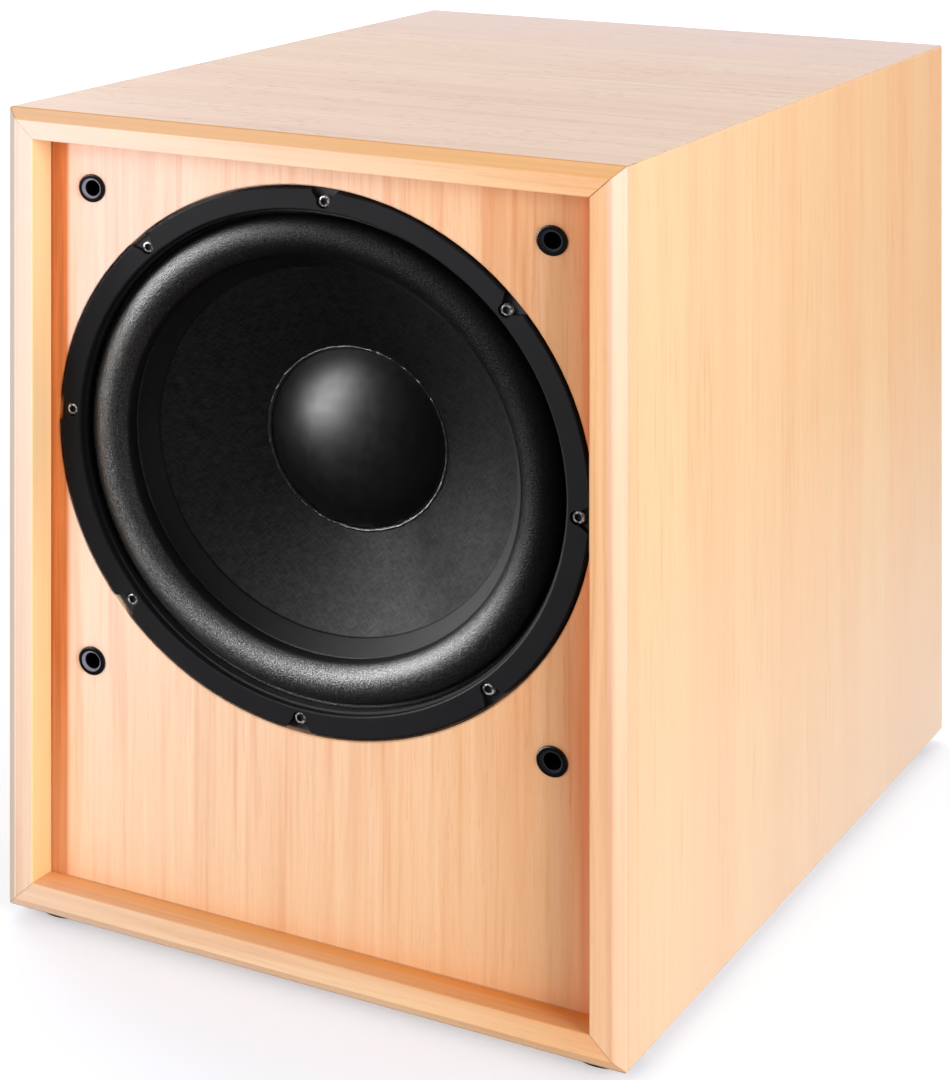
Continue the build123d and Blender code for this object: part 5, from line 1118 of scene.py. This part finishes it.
# ------------------------------------------------------------------ foam gaskets
def flat_gasket(name, outlines, y0, y1, plane_z, mat):
    """A flat foam strip with holes: 2D curves filled, given thickness and a soft edge."""
    cu = bpy.data.curves.new(name, "CURVE")
    cu.dimensions = "2D"
    cu.fill_mode = "BOTH"
    th = y1 - y0
    cu.extrude = th / 2 * 0.62
    cu.bevel_depth = th / 2 * 0.36
    cu.bevel_resolution = 2
    cu.offset = -th / 2 * 0.36
    for pts in outlines:
        sp = cu.splines.new("POLY")
        sp.points.add(len(pts) - 1)
        for i, (x, z) in enumerate(pts):
            sp.points[i].co = (x, z, 0, 1)
        sp.use_cyclic_u = True
    tmp = bpy.data.objects.new(name + "_curve", cu)
    scene.collection.objects.link(tmp)
    tmp.matrix_world = Matrix.Translation((0, (y0 + y1) / 2, plane_z)) @ Matrix.Rotation(math.pi / 2, 4, "X")
    bpy.context.view_layer.update()
    me = bpy.data.meshes.new_from_object(tmp.evaluated_get(bpy.context.evaluated_depsgraph_get()))
    me.transform(tmp.matrix_world)
    bpy.data.objects.remove(tmp)
    me.name = name
    me.materials.clear()
    me.materials.append(mat)
    o = bpy.data.objects.new(name, me)
    scene.collection.objects.link(o)
    import bmesh
    bm = bmesh.new()
    bm.from_mesh(me)
    bmesh.ops.remove_doubles(bm, verts=bm.verts, dist=1e-6)
    bmesh.ops.recalc_face_normals(bm, faces=bm.faces)
    bm.to_mesh(me)
    bm.free()
    return o


def circle_pts(cx, cz, r, n):
    return [(cx + r * math.cos(2 * math.pi * i / n), cz + r * math.sin(2 * math.pi * i / n)) for i in range(n)]


def rrect_pts(w, h, r, n=8):
    out = []
    for cx, cz, a0 in ((w / 2 - r, h / 2 - r, 0), (-w / 2 + r, h / 2 - r, 90), (-w / 2 + r, -h / 2 + r, 180), (w / 2 - r, -h / 2 + r, 270)):
        for i in range(n + 1):
            a = math.radians(a0 + 90 * i / n)
            out.append((cx + r * math.cos(a), cz + r * math.sin(a)))
    return out


glo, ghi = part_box("mounting_gasket")
outl = [circle_pts(0, 0, 0.1550, 240), circle_pts(0, 0, 0.1438, 240)]
for k in range(8):
    a = math.radians(-2.7 + 45 * k)
    outl.append(circle_pts(0.1485 * math.cos(a), 0.1485 * math.sin(a), 0.0029, 20))
g1 = flat_gasket("driver_foam_ring", outl, glo.y + 0.00003, ghi.y - 0.00003, ZD, M["foam"])
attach(g1, "cabinet")
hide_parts("mounting_gasket")

glo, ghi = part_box("amp_gasket")
gw, gh = ghi.x - glo.x, ghi.z - glo.z
outl = [rrect_pts(gw - 0.0004, gh - 0.0004, 0.005), rrect_pts(0.2042, 0.2642, 0.008)]
for u, v in ((-110, -140), (110, -140), (-110, 140), (110, 140), (0, -140), (0, 140), (-110, 0), (110, 0)):
    outl.append(circle_pts(u * MM, v * MM, 0.0026, 18))
g2 = flat_gasket("plate_foam_frame", outl, glo.y + 0.00003, ghi.y - 0.00003, (glo.z + ghi.z) / 2, M["foam"])
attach(g2, "cabinet")
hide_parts("amp_gasket")

# ------------------------------------------------------------------ speaker cable: red and black cores
for sz, key, tag in ((-1, "cable", "black"), (1, "cable_red", "red")):
    zt = ZD + sz * 0.007
    pcb = PLATE_Y - 0.015
    line = spline([(-0.0956, BAF + 0.102 + MOTOR * MM, zt), (-0.098, BAF + 0.170, zt - 0.006),
                   (-0.060, BAF + 0.340, PLATE_Z + 0.088 + sz * 0.003),
                   (-0.066, pcb - 0.040, PLATE_Z + 0.066 + sz * 0.003),
                   (-0.078, pcb - 0.0024, PLATE_Z + 0.066 + sz * 0.005)], 260)

    def rad(i):
        end = min(i, 259 - i)
        return 0.0009 if end < 6 else (0.00155 + 0.00004 * math.sin(i * 0.9))
    v, f = tube(line, rad, 16, "", None)
    o = new_object("speaker_wire_" + tag, v, f, M[key])
    recalc(o)
    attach(o, "cabinet")
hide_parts("speaker_cable")


# ------------------------------------------------------------------ printed marks and pointers on the rear
def strokes(name, bars, y, mat, body, depth=0.00012):
    """Thin printed bars on a face looking rearwards. bars: (x, z, length, width, angle)."""
    verts, faces = [], []
    for (x, z, ln, wd, ang) in bars:
        ca, sa = math.cos(ang), math.sin(ang)
        n = 6
        ring = []
        for sgn in (1, -1):
            for i in range(n + 1):
                a = -math.pi / 2 + math.pi * i / n
                ring.append((sgn * (ln / 2 - wd / 2 + wd / 2 * math.cos(a)), sgn * wd / 2 * math.sin(a)))
        base = len(verts)
        m = len(ring)
        for d, k in ((0.0, 1.0), (depth, 0.9)):
            for (u, v) in ring:
                verts.append((x + (u * ca - v * sa) * (1 if d == 0 else 0.985) if False else x + (u * ca - v * sa), y + d, z + (u * sa + v * ca)))
        faces.append(tuple(base + i for i in range(m)))
        faces.append(tuple(base + m + i for i in range(m))[::-1])
        for i in range(m):
            j = (i + 1) % m
            faces.append((base + i, base + m + i, base + m + j, base + j))
    o = new_object(name, verts, faces, mat, math.radians(30))
    recalc(o)
    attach(o, body)
    return o


bars = []
for (u, v) in ((-78, 100), (-26, 100)):
    for k in range(11):
        a = math.radians(-150 + 30 * k)
        # angle measured from straight up, clockwise seen from behind
        du, dv = math.sin(a), math.cos(a)
        big = k in (0, 5, 10)
        r0, r1 = 13.2, 16.6 if big else 15.2
        rm, ln = (r0 + r1) / 2, (r1 - r0)
        x, z = -(u + du * rm) * MM, PLATE_Z + (v + dv * rm) * MM
        bars.append((x, z, ln * MM, 0.0007, math.atan2(dv, -du)))
for (u, v) in ((28, 104), (78, 104)):
    for du in (-3.2, 3.2):
        bars.append((-(u + du) * MM, PLATE_Z + (v - 7.2) * MM, 0.0026, 0.0007, math.pi / 2))
for (u, v) in ((28, 52), (58, 52)):
    bars.append((-u * MM, PLATE_Z + (v - 10.5) * MM, 0.006, 0.0007, 0.0))
marks = strokes("printed_marks", bars, PLATE_Y - 0.00002, M["ink"], "cabinet")
marks if False else marks

for nm, u, v in (("level", -78, 100), ("crossover", -26, 100)):
    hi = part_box(nm + "_knob")[1].y
    p = strokes(nm + "_pointer", [(-u * MM, PLATE_Z + (v + 5.6) * MM, 0.0066, 0.0009, math.pi / 2)], hi - 0.00072, M["ink"],
                nm + "_control", 0.0004)

# ------------------------------------------------------------------ studio
floor_me = bpy.data.meshes.new("studio_floor")
floor_me.from_pydata([(-9, -9, 0), (9, -9, 0), (9, 9, 0), (-9, 9, 0)], [], [(0, 1, 2, 3)])
floor = bpy.data.objects.new("studio_floor", floor_me)
scene.collection.objects.link(floor)
fm = Mat("studio_floor")
em = fm.node("ShaderNodeEmission")
em.inputs["Color"].default_value = (0.93, 0.96, 1.0, 1.0)
flp = fm.node("ShaderNodeLightPath")
far = fm.step(fm.v("LENGTH", fm.co), 0.7, 2.2, a=0.40, b=1.0)
fm.put(em.inputs["Strength"], fm.f("ADD", fm.f("MULTIPLY", flp.outputs["Is Camera Ray"], far),
                                   fm.f("MULTIPLY", flp.outputs["Is Diffuse Ray"], 0.22)))
df = fm.node("ShaderNodeBsdfDiffuse")
df.inputs["Color"].default_value = (0.70, 0.735, 0.80, 1.0)
ad = fm.node("ShaderNodeAddShader")
fm.t.links.new(em.outputs[0], ad.inputs[0])
fm.t.links.new(df.outputs[0], ad.inputs[1])
ho = fm.node("ShaderNodeEmission")
ho.inputs["Color"].default_value = (0.05, 0.05, 0.055, 1.0)
fmx = fm.node("ShaderNodeMixShader")
fm.put(fmx.inputs[0], flp.outputs["Is Glossy Ray"])
fm.t.links.new(ad.outputs[0], fmx.inputs[1])
fm.t.links.new(ho.outputs[0], fmx.inputs[2])
fm.t.links.new(fmx.outputs[0], fm.out.inputs["Surface"])
floor_me.materials.append(fm.m)

world = bpy.data.worlds.new("studio_world")
scene.world = world
world.use_nodes = True
wt = world.node_tree
wt.nodes.clear()
wo = wt.nodes.new("ShaderNodeOutputWorld")
bg_cam = wt.nodes.new("ShaderNodeBackground")
bg_cam.inputs["Color"].default_value = (1, 1, 1, 1)
bg_cam.inputs["Strength"].default_value = 1.05
bg = wt.nodes.new("ShaderNodeBackground")
tc = wt.nodes.new("ShaderNodeTexCoord")
sep = wt.nodes.new("ShaderNodeSeparateXYZ")
wt.links.new(tc.outputs["Generated"], sep.inputs[0])
rmp = wt.nodes.new("ShaderNodeValToRGB")
rmp.color_ramp.elements[0].position = 0.25
rmp.color_ramp.elements[0].color = (0.13, 0.13, 0.135, 1)
rmp.color_ramp.elements[1].position = 0.78
rmp.color_ramp.elements[1].color = (0.95, 0.93, 0.93, 1)
half = wt.nodes.new("ShaderNodeMath")
half.operation = "MULTIPLY_ADD"
half.inputs[1].default_value = 0.5
half.inputs[2].default_value = 0.5
wt.links.new(sep.outputs[1], half.inputs[0])
wt.links.new(half.outputs[0], rmp.inputs[0])
rmg = wt.nodes.new("ShaderNodeValToRGB")
rmg.color_ramp.elements[0].position = 0.30
rmg.color_ramp.elements[0].color = (0.022, 0.022, 0.024, 1)
rmg.color_ramp.elements[1].position = 0.78
rmg.color_ramp.elements[1].color = (0.95, 0.93, 0.93, 1)
wt.links.new(half.outputs[0], rmg.inputs[0])
lg = wt.nodes.new("ShaderNodeLightPath")
mc = wt.nodes.new("ShaderNodeMix")
mc.data_type = "RGBA"
wt.links.new(lg.outputs["Is Glossy Ray"], mc.inputs[0])
wt.links.new(rmp.outputs[0], mc.inputs[6])
wt.links.new(rmg.outputs[0], mc.inputs[7])
wt.links.new(mc.outputs[2], bg.inputs["Color"])
bg.inputs["Strength"].default_value = 0.80
lp = wt.nodes.new("ShaderNodeLightPath")
mx = wt.nodes.new("ShaderNodeMixShader")
wt.links.new(lp.outputs["Is Camera Ray"], mx.inputs[0])
wt.links.new(bg.outputs[0], mx.inputs[1])
wt.links.new(bg_cam.outputs[0], mx.inputs[2])
wt.links.new(mx.outputs[0], wo.inputs["Surface"])


def area(name, loc, target, sx, sy, power, color=(1, 1, 1)):
    d = bpy.data.lights.new(name, "AREA")
    d.shape = "RECTANGLE"
    d.size, d.size_y = sx, sy
    d.energy = power
    d.color = color
    o = bpy.data.objects.new(name, d)
    o.location = loc
    o.rotation_euler = (Vector(target) - Vector(loc)).to_track_quat("-Z", "Y").to_euler()
    scene.collection.objects.link(o)
    return o


key = area("key_left", (-2.17, -1.99, 1.50), (0.0, -0.30, 0.30), 2.6, 2.4, 240.0)
rim = area("rim_left", (-2.75, -1.45, 0.70), (0.0, -0.30, 0.30), 0.7, 1.4, 120.0)
rim.visible_diffuse = False
kick = area("kick_right", (3.0, -1.7, 0.6), (0.0, -0.30, 0.30), 0.5, 1.2, 6.0)
kick.visible_diffuse = False
key.visible_diffuse = False
fill = area("front_fill", (-0.75, -3.1, 1.0), (0.0, -0.30, 0.27), 1.7, 1.7, 35.0)
fill.visible_glossy = False
side = area("side_right", (3.3, -2.0, 1.1), (0.15, -0.05, 0.27), 2.0, 2.2, 121.0, (1.0, 0.985, 0.97))
side.visible_glossy = False
area("overhead", (-0.1, 0.25, 2.3), (0.0, 0.0, 0.45), 1.8, 1.8, 14.0)
area("back_left", (-2.4, 2.2, 2.6), (0.0, 0.2, 0.25), 2.6, 2.6, 34.0)
rear = area("rear_gloss", (3.0, 2.2, 1.4), (0.0, 0.35, 0.25), 1.5, 1.5, 150.0)
rear.visible_diffuse = False



def shines_on(lights, keys):
    """Soft boxes that only draw highlights on dark parts leave the pale wood alone, from any side."""
    mats = {M[k] for k in keys}
    col = bpy.data.collections.new(lights[0].name + "_receivers")
    for o in sorted(scene.objects, key=lambda q: q.name):
        if o.type == "MESH" and any(sl.material in mats for sl in o.material_slots):
            col.objects.link(o)
    for li in lights:
        li.light_linking.receiver_collection = col


shines_on([key, rim, kick], ("ring", "surround", "cone", "cap", "adhesive", "screw_black", "socket", "cast"))
shines_on([rear], ("plate", "screw_plain", "sink", "knob", "shaft", "switch", "nickel", "rca", "led", "ink"))

# ------------------------------------------------------------------ camera
cam_d = bpy.data.cameras.new("camera")
cam = bpy.data.objects.new("camera", cam_d)
scene.collection.objects.link(cam)
CAM = (0.700028, -2.042747, 0.746736)
cam.location = CAM
cam.rotation_euler = (math.pi / 2, 0.0, math.radians(39.458778))
cam_d.sensor_width = 36.0
cam_d.sensor_fit = "AUTO"
cam_d.lens = 103.114
cam_d.clip_start, cam_d.clip_end = 0.01, 60.0
scene.camera = cam


def shift_driver(prop, value):
    """The lens is shifted only while the camera stands at its own place, so that other views stay centred."""
    fc = cam_d.driver_add(prop)
    dr = fc.driver
    dr.type = "SCRIPTED"
    for nm, i in (("px", 0), ("py", 1)):
        va = dr.variables.new()
        va.name = nm
        va.type = "SINGLE_PROP"
        va.targets[0].id_type = "OBJECT"
        va.targets[0].id = cam
        va.targets[0].data_path = f"location[{i}]"
    dr.expression = f"{value} if abs(px - {CAM[0]}) + abs(py - {-CAM[1]} * -1) < 0.002 else 0"


shift_driver("shift_x", 1.036176)
shift_driver("shift_y", -0.799876)

scene.view_settings.view_transform = "Standard"
